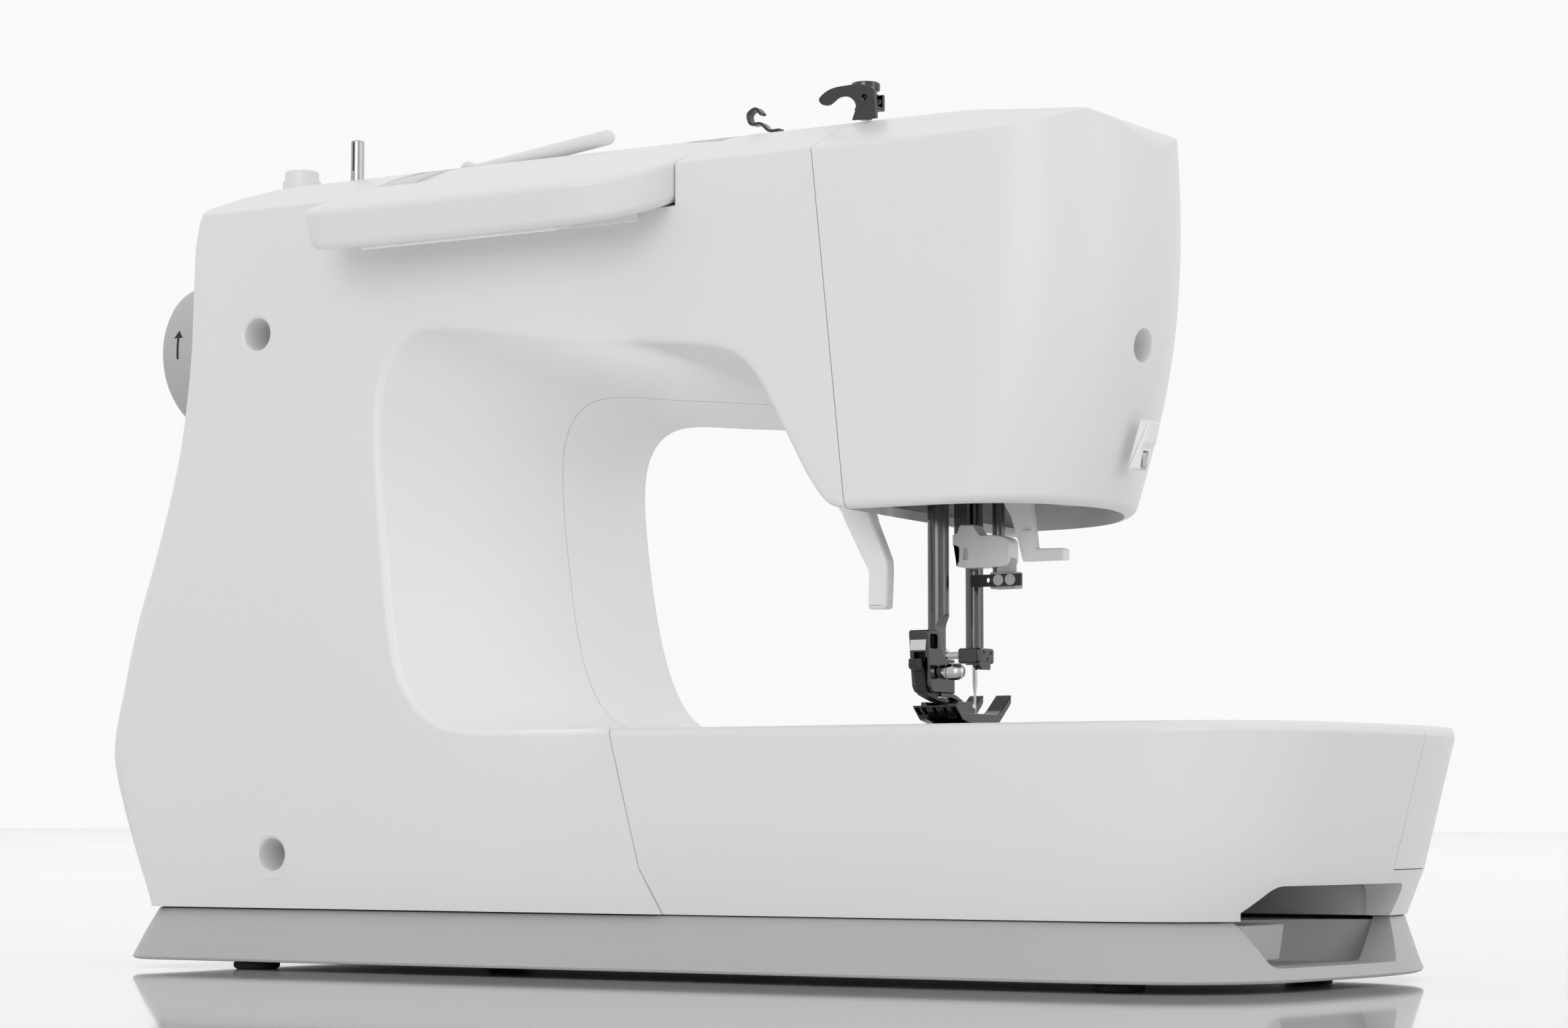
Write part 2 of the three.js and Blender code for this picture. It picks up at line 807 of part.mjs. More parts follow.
let needlePlate = box(PLATE.x0, PLATE.x1, PLATE.split + GAP, PLATE.y1, BED_Z - 1.6, BED_Z);
needlePlate = cut(
  needlePlate,
  box(-4.6, 4.6, -1.3, 1.3, 70, 90),
  box(-8.6, -6.2, -5, 14, 70, 90),
  box(6.2, 8.6, -5, 14, 70, 90),
  box(-2.2, 2.2, 2.6, 17.4, 70, 90),
);
add("needle_plate", needlePlate, STEEL, 0.25, 1);
let slidePlate = box(PLATE.x0, PLATE.x1, PLATE.y0, PLATE.split, BED_Z - 2.2, BED_Z - 0.1);
slidePlate = cut(slidePlate, box(-8, 8, PLATE.y0 - 1, PLATE.y0 + 3, BED_Z - 0.9, BED_Z + 1));
add("bobbin_cover_plate", slidePlate, 0xd9dde0, 0.12);

// Accessory box: wraps round the free arm behind, at the end and in front; the front part is a tray.
const armClear = box(ARM_X0 - 0.6, 200, ARM_Y0 - 0.6, ARM_Y1 + 0.6, 0, 100);
const trayX1 = 76;
const tray = common(
  boxLoft(5.6, 26, BED_Z - 4),
  box(-140, trayX1, Y_BED_FRONT, ARM_Y0 - 4, 26, BED_Z - 3.5),
);
const DOOR_Z0 = CREASE_Z;
const DOOR_Z1 = 78.8;
const doorZone = box(-160, 74, -130, -42.3, DOOR_Z0, DOOR_Z1);
const doorRecess = box(-160, 74.3, -130, -42, DOOR_Z0 - GAP, DOOR_Z1 + GAP);
const doorSkin = cut(boxLoft(0, 22.1, BED_Z), boxLoft(2.8, 20, BED_Z + 1));
let accessoryBox = cut(
  boxLoft(0, BODY_Z0, BED_Z),
  armClear,
  tray,
  common(cut(boxLoft(-3, 15, 95), boxLoft(3.1, 15, 95)), doorRecess),
  box(-100, trayX1, -130, ARM_Y0 - 10, DOOR_Z0 + 3, BED_Z - 6.2),
  boxNotch,
  common(boxLoft(3.4, 10, 95), box(-104, 66, ARM_Y1 + 3.5, 80, 10, BED_Z - 3)), // hollow behind the arm
);
accessoryBox = common(accessoryBox, halfSpace(seamX, -1, -GAP));
add("accessory_box", accessoryBox, WHITE, 0.42);
const door = common(doorSkin, doorZone);
add("accessory_box_door", cut(door, box(-40, 0, Y_BED_FRONT - 2, Y_BED_FRONT + 1.2, 70, 74)), WHITE, 0.42);

// ---------------------------------------------------------------- inner frame
const barBores = [
  rod(PRESSER_BAR_R + 0.3, 150, 270, "z", 0, PRESSER_Y),
  rod(NEEDLE_BAR_R + 0.3, 150, 270, "z", 0, 0),
];
const frame = cut(
  union(
    box(-105, 262, 16, 32, 40, 56), // bed beam
    box(228, 262, 10, 32, 40, 248), // column
    box(-16, 262, 26.5, 34, 232, 250), // arm beam
    box(-16, 14, 27, 34, 170, 250), // head plate
    box(10, 38, 27, 34, 208, 250),
    box(-9, 9, -8, 34, 172, 180), // lower bushing of the two bars
    box(-9, 9, -8, 34, 243, 250), // upper bushing
    box(30, 38, -9, 34, 219, 237), // upper shaft bearings
    box(150, 158, -9, 34, 219, 240),
    box(254, 262, -9, 34, 219, 240),
    box(56, 64, -12, 30, 40, 56), // lower shaft bearings
    box(228, 236, -12, 30, 40, 56),
    box(-30, -24, -46, 30, 40, 54), // hook bracket
    box(-30, 30, -46, -2, 40, 44),
  ),
  ...barBores,
  rod(5.3, 10, 300, "x", 0, SHAFT_Z),
  rod(3.3, 20, 300, "x", -3, 48),
  rod(4.3, 30, 60, "z", 0, HOOK_Y),
);
add("inner_frame", frame, 0xa5a8ac, 0.55, 1);

// ---------------------------------------------------------------- drive
let wheel = turned(
  [
    [0, 4],
    [5.3, 4],
    [5.3, 0],
    [24, 0],
    [27.5, 3],
    [WHEEL_R - 0.5, 9],
    [WHEEL_R, 16],
    [WHEEL_R, 27],
    [WHEEL_R - 1, 32],
    [WHEEL_R - 4, 35.6],
    [20, 37.5],
    [15, 36],
    [0, 35],
  ],
  "x",
  WHEEL_X0,
  0,
  SHAFT_Z,
  48,
);
wheel = cut(wheel, rod(5.3, 290, 320, "x", 0, SHAFT_Z));
const scallops = [];
for (let i = 0; i < 12; i++) {
  const a = (i / 12) * Math.PI * 2;
  scallops.push(rod(2.2, 330.5, 340, "x", 26.5 * Math.cos(a), SHAFT_Z + 26.5 * Math.sin(a), 10));
}
add("handwheel", cut(wheel, ...scallops), GREY, 0.5);

const crank = turned(
  [
    [0, 14],
    [14, 14],
    [14, 21],
    [5, 21],
    [5, 319.5],
    [0, 319.5],
  ],
  "x",
  0,
  0,
  SHAFT_Z,
  28,
);
const PULLEY = { x0: 190, x1: 202, r: 15 };
const DRIVEN = { x0: 209, x1: 218, r: 22 };
const MOTOR = { x0: 214, x1: 290, y: -29, z: 88, r: 20, pulleyR: 6 };
add(
  "upper_shaft",
  union(
    crank,
    rod(PULLEY.r, PULLEY.x0, PULLEY.x1, "x", 0, SHAFT_Z, 28),
    rod(DRIVEN.r, DRIVEN.x0, DRIVEN.x1, "x", 0, SHAFT_Z, 32),
    rod(2.4, 10, 16, "x", 0, SHAFT_Z + 9, 12), // crank pin
  ),
  STEEL,
  0.3,
  1,
);
const LOWER_Z = 48;
add(
  "lower_shaft",
  union(rod(3, 44, 262, "x", -3, LOWER_Z), rod(PULLEY.r, PULLEY.x0, PULLEY.x1, "x", -3, LOWER_Z, 28)),
  STEEL,
  0.3,
  1,
);
// Outline in Y and Z of a belt round two pulleys, each { y, z, r }, moved out by grow.
function beltLoop(low, high, grow) {
  const reach = Math.hypot(high.y - low.y, high.z - low.z);
  const rise = Math.atan2(high.z - low.z, high.y - low.y);
  const wrap = Math.acos((low.r - high.r) / reach);
  const points = [];
  const arc = (pulley, start, sweep) => {
    for (let i = 0; i <= 11; i++) {
      const a = start + (i / 11) * sweep;
      const r = pulley.r + grow;
      points.push([pulley.y + r * Math.cos(a), pulley.z + r * Math.sin(a)]);
    }
  };
  arc(high, rise - wrap, 2 * wrap);
  arc(low, rise + wrap, 2 * (Math.PI - wrap));
  return points;
}
const belt = (low, high, x0, x1) =>
  cut(prismYZ(beltLoop(low, high, 1.8), x0 + 1, x1 - 1), prismYZ(beltLoop(low, high, GAP), x0 - 1, x1 + 1));
add(
  "timing_belt",
  belt({ y: -3, z: LOWER_Z, r: PULLEY.r }, { y: 0, z: SHAFT_Z, r: PULLEY.r }, PULLEY.x0, PULLEY.x1),
  BLACK,
  0.7,
);
add(
  "motor_belt",
  belt({ ...MOTOR, r: MOTOR.pulleyR }, { y: 0, z: SHAFT_Z, r: DRIVEN.r }, DRIVEN.x0, DRIVEN.x1),
  BLACK,
  0.7,
);

const motorBody = union(
  rod(MOTOR.r, MOTOR.x0 + 12, MOTOR.x1 - 6, "x", MOTOR.y, MOTOR.z, 28),
  rod(12, MOTOR.x0 + 6, MOTOR.x1, "x", MOTOR.y, MOTOR.z, 20),
);
add("motor", cut(motorBody, rod(3.4, 200, 300, "x", MOTOR.y, MOTOR.z, 16)), 0x3a3d42, 0.5, 1);
add(
  "motor_pulley",
  union(
    rod(3, MOTOR.x0 - 2, MOTOR.x1 + 4, "x", MOTOR.y, MOTOR.z, 16),
    rod(MOTOR.pulleyR, MOTOR.x0 - 6, MOTOR.x0 + 5.5, "x", MOTOR.y, MOTOR.z, 20),
  ),
  STEEL,
  0.35,
  1,
);

// Horizontal hook with its bobbin case and bobbin.
const hook = turned(
  [
    [0, 46],
    [4, 46],
    [4, 57],
    [HOOK_R - 3, 57],
    [HOOK_R, 60],
    [HOOK_R, 73],
    [HOOK_R - 1.5, 73],
    [HOOK_R - 1.5, 61],
    [0, 61],
  ],
  "z",
  0,
  HOOK_Y,
  0,
  36,
);
add("rotary_hook", cut(hook, box(-2, 5, -6, 0, 66, 74)), STEEL, 0.25, 1);
const caseR = HOOK_R - 1.5 - GAP;
const bobbinCase = turned(
  [
    [0, 61.5],
    [caseR - 1, 61.5],
    [caseR, 63],
    [caseR, 77],
    [BOBBIN_R + 1, 77],
    [BOBBIN_R + 1, 63.5],
    [1.6, 63.5],
    [1.6, 66],
    [0, 66],
  ],
  "z",
  0,
  HOOK_Y,
  0,
  32,
);
add("bobbin_case", cut(bobbinCase, box(11.8, 30, HOOK_Y - 3, HOOK_Y + 3, 70, 80)), BLACK, 0.4);
const bobbin = turned(
  [
    [2, 64],
    [BOBBIN_R, 64],
    [BOBBIN_R, 65],
    [4, 65.4],
    [4, 63 + BOBBIN_H - 0.4],
    [BOBBIN_R, 63 + BOBBIN_H],
    [BOBBIN_R, 64 + BOBBIN_H],
    [2, 64 + BOBBIN_H],
    [2, 64],
  ],
  "z",
  0,
  HOOK_Y,
  0,
  32,
);
add("bobbin", bobbin, 0xe8eef2, 0.1);

const feedDog = union(
  box(-8.2, -6.6, -3, 12, 76, BED_Z - 0.4),
  box(6.6, 8.2, -3, 12, 76, BED_Z - 0.4),
  box(-1.8, 1.8, 5, 15, 76, BED_Z - 0.4),
  box(-8.2, 8.2, 2.5, 6, 74, 79),
);
add("feed_dog", feedDog, STEEL, 0.35, 1);

// ---------------------------------------------------------------- needle side
add("needle_bar", rod(NEEDLE_BAR_R, 104, 256, "z", 0, 0), STEEL, 0.2, 1);
const CLAMP = { x0: -4.4, x1: 4.2, y0: -5.9, y1: 4.6, z0: 104.4, z1: 109.6 };
const clampBody = union(
  box(CLAMP.x0, CLAMP.x1, CLAMP.y0, CLAMP.y1, CLAMP.z0, CLAMP.z1),
  box(CLAMP.x0 + 0.2, -1.4, -3.4, CLAMP.y1 - 0.4, 102.4, CLAMP.z0 + 0.5),
);
const clampBore = rod(NEEDLE_BAR_R + 0.3, 100, 115, "z", 0, 0);
add("needle_clamp", cut(clampBody, clampBore, rod(1.6, 3, 6, "x", 0, 107.4, 12)), STEEL, 0.2, 1);
const clampScrew = turned(
  [
    [0, 3.4],
    [1.3, 3.4],
    [1.3, 10.5],
    [2.4, 10.7],
    [2.8, 11.2],
    [2.8, 16],
    [2.4, 16.5],
    [0, 16.5],
  ],
  "x",
  0,
  0,
  107.4,
  16,
);
add("needle_clamp_screw", clampScrew, STEEL, 0.25, 1);
const needle = turned(
  [
    [0, 77.5],
    [0.35, 79.5],
    [0.5, 82],
    [0.5, 95],
    [1, 97],
    [1, 103.7],
    [0, 103.7],
  ],
  "z",
  0,
  0,
  0,
  12,
);
add("needle", needle, STEEL, 0.15, 1);

// Take-up lever, on an axis along X in front of the needle bar.
const TAKE_Y = -22;
const TAKE_Z = 226;
let takeUp = prismYZ(
  [
    [TAKE_Y + 5, TAKE_Z - 5],
    [TAKE_Y + 6, TAKE_Z + 3],
    [TAKE_Y - 2, TAKE_Z + 16],
    [TAKE_Y - 20, TAKE_Z + 30],
    [TAKE_Y - 33, TAKE_Z + 37],
    [TAKE_Y - 37, TAKE_Z + 38],
    [TAKE_Y - 37, TAKE_Z + 33],
    [TAKE_Y - 24, TAKE_Z + 24],
    [TAKE_Y - 9, TAKE_Z + 9],
    [TAKE_Y - 6, TAKE_Z - 3],
  ],
  TAKE_X - 1,
  TAKE_X + 1,
);
takeUp = cut(takeUp, rod(1.1, 0, 20, "x", TAKE_Y - 33.5, TAKE_Z + 34.6, 12));
add("take_up_lever", takeUp, STEEL, 0.15, 1);

// ---------------------------------------------------------------- presser foot side
// The bar is ground flat on its left side, where the ankle's cheek is clamped to it.
const BAR_FLAT_X = -0.8;
const barFlat = prismXZ(
  [
    [BAR_FLAT_X, 90],
    [BAR_FLAT_X, 115],
    [-PRESSER_BAR_R - 0.4, 121],
    [-PRESSER_BAR_R - 2, 121],
    [-PRESSER_BAR_R - 2, 90],
  ],
  PRESSER_Y - 5,
  PRESSER_Y + 5,
);
const presserBar = cut(rod(PRESSER_BAR_R, 97.5, 258, "z", 0, PRESSER_Y), barFlat);
add("presser_bar", presserBar, STEEL, 0.25, 1);

const ANKLE = { x0: -3, x1: 4.2 };
const PIN = { y: 13.9, z: 89.9, r: 1.1 }; // cross pin of the foot, held by the ankle's jaw
const ankleSide = [
  [36.9, 114.3],
  [28.5, 114.3],
  [27.8, 109.8],
  [25.7, 106.4],
  [24.4, 105.2],
  [18.6, 105.1],
  [18.6, 93.9],
  [33.1, 93.9],
  [34.8, 95.9],
  [36.1, 105.4],
];
const jawSide = [
  [26, 94.4],
  [19.9, 94.4],
  [15.7, 93.4],
  [11.6, 91.9],
  [11.2, 89.6],
  [12.2, 89.4],
  [12.6, 91.2],
  [14.6, 91.7],
  [19, 92.6],
  [26, 92.8],
];
const SLOT = { x0: -1.7, x1: 2.5, z1: 107.1 }; // slot of the release lever
const ankle = cut(
  union(prismYZ(ankleSide, ANKLE.x0, ANKLE.x1), prismYZ(jawSide, -2, 3.2)),
  box(SLOT.x0, SLOT.x1, 31, 40, 90, SLOT.z1),
  box(BAR_FLAT_X - 0.3, 8, PRESSER_Y - 3.9, PRESSER_Y + 3.9, 97.2, 120),
  box(ANKLE.x0 - 1, ANKLE.x0 + 2, 30.2, 35.2, 108.2, 113),
  rod(1.9, ANKLE.x0 - 1, ANKLE.x0 + 1.8, "x", 29.6, 100.7, 12),
);
add("presser_ankle", ankle, STEEL, 0.2, 1);
const thumbScrew = turned(
  [
    [0, -12.6],
    [1.6, -12.4],
    [2.5, -11.4],
    [2.8, -10],
    [2.8, -7.4],
    [2.4, -6.9],
    [2.4, -3.3],
    [1.5, -3.3],
    [1.5, -1.5],
    [0, -1.5],
  ],
  "x",
  0,
  29.6,
  100.7,
  20,
);
add("ankle_thumb_screw", thumbScrew, STEEL, 0.25, 1);
const leverSide = [
  [38.4, 104.8],
  [40.3, 104.8],
  [40.4, 101.9],
  [38.7, 101.1],
  [37, 100],
  [36.3, 98],
  [35.6, 95.3],
  [34.6, 93.2],
  [26.4, 91.2],
  [17.6, 90.2],
  [17.4, 91.2],
  [26, 92.4],
  [31.4, 93.5],
  [33.2, 96],
  [34.4, 100],
  [37, 102.4],
];
add("foot_release_lever", prismYZ(leverSide, SLOT.x0 + GAP, SLOT.x1 - GAP), BLACK, 0.5);

// Zigzag presser foot: sole with a needle slot, open toes turned up in front, pin for the ankle.
const SOLE_Z = BED_Z + GAP;
const soleSide = [
  [2, SOLE_Z],
  [14, SOLE_Z],
  [23.5, SOLE_Z + 2],
  [27.6, 89.2],
  [28, 89.9],
  [26.4, 89.9],
  [25.2, 88.6],
  [22.4, 87.6],
  [0.3, 87.6],
  [-3.3, 89.2],
  [-10.6, 93.7],
  [-11, 92.9],
  [-6.9, 89.3],
  [-3.3, 87],
  [-0.8, 84.6],
];
const EAR = { x: 7.2, inner: -3.4, outer: 4.6 };
let foot = union(
  prismYZ(soleSide, -8.5, 7.8),
  box(-EAR.x, EAR.inner, 12.4, 24.4, 86, 91.2),
  box(EAR.outer, EAR.x - 0.4, 12.4, 24.4, 86, 91.2),
  rod(PIN.r, EAR.inner - 1, EAR.outer + 1, "x", PIN.y, PIN.z, 12),
);
foot = cut(foot, box(-2.6, 2.4, -30, 4, 80, 100));
add("presser_foot", foot, STEEL, 0.2, 1);

// Lifter lever: hangs behind the presser bar when the foot is down.
const LIFT_X = 27;
const LIFT_Z = 170;
const LIFT_Y0 = 37;
const lifterOutline = [
  [LIFT_X + 6, LIFT_Z + 4],
  [LIFT_X - 6, LIFT_Z + 4],
  [LIFT_X - 7, LIFT_Z - 6],
  [LIFT_X - 10.5, 156],
  [LIFT_X - 13, 150.5],
  [LIFT_X - 18, 138.5],
  [LIFT_X - 18.4, 133],
  [LIFT_X - 17.8, 122.6],
  [LIFT_X - 16.4, 121],
  [LIFT_X - 12, 121],
  [LIFT_X - 10.8, 122.6],
  [LIFT_X - 11.2, 133.5],
  [LIFT_X - 3, 148],
  [LIFT_X - 1, 152],
  [LIFT_X + 5, LIFT_Z - 9],
];
add("presser_lifter_lever", prismXZ(lifterOutline, LIFT_Y0, LIFT_Y0 + 6), 0xe9edef, 0.15);

// Needle threader, buttonhole lever, thread cutter and lamp.
const THR_X = -12.5;
const THR_Y = 7.5;
const threaderBlock = prismXZ(
  [
    [3, 137.5],
    [3, 143],
    [1, 146],
    [1, 151],
    [-5, 151],
    [-7, 148.5],
    [-11.5, 148.3],
    [-14.8, 146.5],
    [-16.4, 143],
    [-15.6, 139.6],
    [-12.5, 137],
  ],
  4,
  10.6,
);
add(
  "needle_threader",
  union(
    threaderBlock,
    rod(2.1, 128, 182, "z", THR_X, THR_Y, 16),
    box(THR_X - 6, THR_X + 3.4, THR_Y - 3.6, THR_Y + 2.6, 125.4, 133.6),
  ),
  0xf0f1f1,
  0.4,
);
const bracket = cut(
  union(
    box(-21, -2, THR_Y + 2.9, THR_Y + 3.9, 127.4, 132.8),
    box(-3.1, -2, THR_Y - 1.5, THR_Y + 3.9, 127.4, 132.8),
  ),
  rod(0.7, 5, 20, "y", -9, 130.1, 10),
);
const rivets = [-17.8, -13.3].map((x) => rod(1.6, THR_Y + 2.9, THR_Y + 4.6, "y", x, 130.1, 14));
add("threader_bracket", union(bracket, ...rivets), BLACK, 0.35, 1);
const holeLever = union(
  prismXZ(
    [
      [-15.5, 200],
      [-27, 200],
      [-27.6, 160],
      [-30.6, 141],
      [-41.6, 141.4],
      [-41.6, 136.6],
      [-24.4, 136.6],
      [-23, 142],
      [-17, 156],
    ],
    12,
    15.4,
  ),
);
add("buttonhole_lever", holeLever, 0xf4f4f2, 0.35);
const cutterSide = [
  [-69.4, 164],
  [-74.4, 180],
  [-77.6, 179],
  [-76.2, 172.6],
  [-74.6, 171],
  [-73.2, 164],
];
add("thread_cutter", cut(prismXZ(cutterSide, 17, 25), box(-76, -72.2, 19, 23, 160, 170)), WHITE, 0.4);
add("thread_cutter_blade", box(-74, -72.8, 19.4, 22.6, 165, 169.4), BLACK, 0.2, 1);
add("work_lamp", box(-40, -20, -30, -16, 158, 166), 0xf7f5e8, 0.2);

// ---------------------------------------------------------------- roof fittings
add(
  "spool_pin",
  rotated(
    union(
      turned(
        [
          [0, -PIN_L],
          [PIN_R * 0.7, -PIN_L + 0.6],
          [PIN_R, -PIN_L + 2],
          [PIN_R, 0],
          [0, 0],
        ],
        "x",
        PIN_X0,
        PIN_Y,
        PIN_Z0,
        20,
      ),
      rod(3.4, PIN_Y - 4.2, PIN_Y + 4.2, "y", PIN_X0, PIN_Z0, 20),
    ),
    "y",
    PIN_TILT,
    PIN_X0,
    PIN_Y,
    PIN_Z0,
  ),
  WHITE,
  0.35,
);
const spindle = turned(
  [
    [0, 272],
    [2.5, 272],
    [2.5, 303],
    [2.1, 303.5],
    [0, 303.5],
  ],
  "z",
  WINDER_X,
  WINDER_Y,
  0,
  20,
);
add("bobbin_winder_spindle", cut(spindle, box(254.7, 255.3, 0, 20, 293, 310)), STEEL, 0.2, 1);
const roofAt = (y) => {
  for (let i = 0; i + 1 < ROOF.length; i++) {
    const [y0, z0] = ROOF[i];
    const [y1, z1] = ROOF[i + 1];
    if (y <= y0 && y >= y1) return z0 + ((y - y0) / (y1 - y0)) * (z1 - z0);
  }
  return CREST_Z;
};
const stopZ = STOPPER_Z + GAP;
add(
  "bobbin_winder_stopper",
  turned(
    [
      [0, stopZ],
      [7.2, stopZ],
      [7.2, stopZ + 5.8],
      [6.4, stopZ + 6.2],
      [6.4, stopZ + 9],
      [6, stopZ + 9.4],
      [0, stopZ + 9.4],
    ],
    "z",
    STOPPER_X,
    STOPPER_Y,
    0,
    28,
  ),
  WHITE,
  0.35,
);

// Wire thread guide: a bent flat hook on the roof.
const guideZ = roofAt(4) + GAP + 0.2;
const hookCurve = new THREE.CatmullRomCurve3([
  new THREE.Vector3(71, 8, guideZ + 0.7),
  new THREE.Vector3(75, 8, guideZ + 0.9),
  new THREE.Vector3(78.5, 8, guideZ + 3.6),
  new THREE.Vector3(82.6, 8, guideZ + 4),
  new THREE.Vector3(83.6, 8, guideZ + 7.4),
  new THREE.Vector3(80.6, 8, guideZ + 9),
  new THREE.Vector3(78.4, 8, guideZ + 7),
]);
const strap = new THREE.Shape([
  new THREE.Vector2(-2, -0.6),
  new THREE.Vector2(2, -0.6),
  new THREE.Vector2(2, 0.6),
  new THREE.Vector2(-2, 0.6),
]);
const strapSolid = toSolid(
  new THREE.ExtrudeGeometry(strap, { steps: 18, extrudePath: hookCurve, bevelEnabled: false }),
);
add("thread_guide_hook", strapSolid, STEEL, 0.12, 1);

// Folded guide plate with its horn, and the pre-tension stud.
const GP_Y = 30;
const gpZ = roofAt(GP_Y) + GAP + 0.4;
const horn = prismXZ(
  [
    [19.5, gpZ],
    [29, gpZ + 0.4],
    [27.5, gpZ + 5.4],
    [30, gpZ + 8.2],
    [34, gpZ + 8.6],
    [38.2, gpZ + 6.4],
    [41, gpZ + 7],
    [42, gpZ + 8.8],
    [38, gpZ + 11.6],
    [31, gpZ + 12.6],
    [24.5, gpZ + 12.2],
    [20.5, gpZ + 10],
    [19.8, gpZ + 6],
  ],
  GP_Y - 0.7,
  GP_Y + 0.7,
);
add(
  "thread_guide_plate",
  union(
    horn,
    box(20, 28.4, GP_Y - 6, GP_Y + 0.7, gpZ + 3.4, gpZ + 4.6),
    box(20, 28.4, GP_Y - 6, GP_Y - 4.8, gpZ + 3.4, gpZ + 9),
  ),
  STEEL,
  0.12,
  1,
);
const STUD_X = 30.5;
const STUD_Y = 19;
const studZ = roofAt(STUD_Y) + GAP + 0.4;
add(
  "pre_tension_disc",
  turned(
    [
      [0, studZ],
      [2.2, studZ],
      [2.2, studZ + 1],
      [1.5, studZ + 1.4],
      [1.5, studZ + 7.4],
      [4.6, studZ + 7.7],
      [4.8, studZ + 8.3],
      [1.8, studZ + 9],
      [4.9, studZ + 9.6],
      [4.9, studZ + 12.4],
      [0, studZ + 12.4],
    ],
    "z",
    STUD_X,
    STUD_Y,
    0,
    28,
  ),
  STEEL,
  0.12,
  1,
);

// ---------------------------------------------------------------- controls on the front and the end
function dial(name, d, height, marks) {
  const y = Y_FRONT - 0.2 - GAP;
  const knob = turned(
    [
      [0, 12],
      [3, 12],
      [3, 0],
      [d.r, 0],
      [d.r, -height + 1.6],
      [d.r - 1.6, -height],
      [0, -height],
    ].reverse(),
    "y",
    d.x,
    y,
    d.z,
    40,
  );
  const flutes = [];
  for (let i = 0; i < marks; i++) {
    const a = (i / marks) * Math.PI * 2;
    const r = d.r + 0.6;
    flutes.push(rod(1.5, y - height - 1, y - 2.5, "y", d.x + r * Math.cos(a), d.z + r * Math.sin(a), 8));
  }
  const pointerZ = [d.z + d.r * 0.35, d.z + d.r * 0.85];
  const pointer = box(d.x - 0.6, d.x + 0.6, y - height - 1, y - height + 0.6, ...pointerZ);
  add(name, cut(knob, ...flutes, pointer), GREY, 0.45);
}
dial("pattern_dial", PATTERN, 14, 20);
dial("stitch_length_dial", LENGTH, 11, 14);
dial("stitch_width_dial", WIDTH, 10, 12);
const tensionWheel = turned(
  [
    [0, -2.8],
    [TENSION.r, -2.8],
    [TENSION.r + 0.4, -2.2],
    [TENSION.r + 0.4, 2.2],
    [TENSION.r, 2.8],
    [0, 2.8],
  ],
  "x",
  TENSION.x,
  -46.5,
  TENSION.z,
  36,
);
add("thread_tension_dial", tensionWheel, GREY, 0.45);
const reverseLever = union(
  box(REVERSE.x - 8.4, REVERSE.x + 8.4, -66, -57, REVERSE.z - 6, REVERSE.z + 5),
  box(REVERSE.x - 6, REVERSE.x + 6, -58, -44, REVERSE.z - 5, REVERSE.z + 3),
);
add("reverse_lever", reverseLever, GREY, 0.45);

const endX = 322;
const rocker = prismXZ(
  [
    [endX - 7.4, SWITCH.z0 + 3.3],
    [endX - 1, SWITCH.z0 + 3.3],
    [endX - 1.6, 55],
    [endX + 1.2, SWITCH.z1 - 3.3],
    [endX - 7.4, SWITCH.z1 - 3.3],
  ],
  SWITCH.y0 + 2.4,
  SWITCH.y1 - 2.4,
);
add("power_switch", rocker, BLACK, 0.4);
const bezel = (w, depth) =>
  cut(
    box(endX - depth, endX - 1.5, w.y0 + GAP, w.y1 - GAP, w.z0 + GAP, w.z1 - GAP),
    box(endX - depth + 2, endX + 5, w.y0 + 2, w.y1 - 2, w.z0 + 2, w.z1 - 2),
  );
add("switch_bezel", bezel(SWITCH, 14), BLACK, 0.5);
const pins = [0, 1, 2].map((i) => rod(1.1, endX - 13, endX - 5, "x", 22 + i * 7, 55, 10));
add("power_inlet", union(bezel(INLET, 14), ...pins), BLACK, 0.5);

// Cover screws in their wells, and the small screw of the head's rim.
WELLS.forEach(([x, z], i) => {
  const screw = cut(
    turned(
      [
        [0, 0],
        [4, 0],
        [4, 1.6],
        [2.6, 2.6],
        [0, 2.6],
      ],
      "y",
      x,
      48 + GAP,
      z,
      20,
    ),
    box(x - 0.5, x + 0.5, 49.6, 60, z - 3, z + 3),
    box(x - 3, x + 3, 49.6, 60, z - 0.5, z + 0.5),
  );
  add(`cover_screw_${["upper", "lower"][i]}`, screw, STEEL, 0.3, 1);
});

// ---------------------------------------------------------------- assembly
let low = [Infinity, Infinity];
let high = [-Infinity, -Infinity];
for (const part of parts) {
  const b = part.solid.boundingBox();
  low = low.map((v, i) => Math.min(v, b.min[i]));
  high = high.map((v, i) => Math.max(v, b.max[i]));
}
const centre = low.map((v, i) => (v + high[i]) / 2);

const machine = new THREE.Group();
for (const part of parts) {
  const geometry = toGeometry(part.solid.translate([-centre[0], -centre[1], 0]));
  const material = new THREE.MeshStandardMaterial({
    color: part.color,
    roughness: part.roughness,
    metalness: part.metalness,
  });
  const mesh = new THREE.Mesh(geometry, material);
  mesh.name = part.name;
  machine.add(mesh);
}
export default machine;
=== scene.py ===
"""Looks of the sewing machine: fine covers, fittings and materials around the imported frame.

Shapes are drawn in millimetres in the machine's own drawing frame: the needle's axis is x = 0, y = 0,
+X runs towards the handwheel, +Y towards the rear and z = 0 is the table.
"""
import math
import random

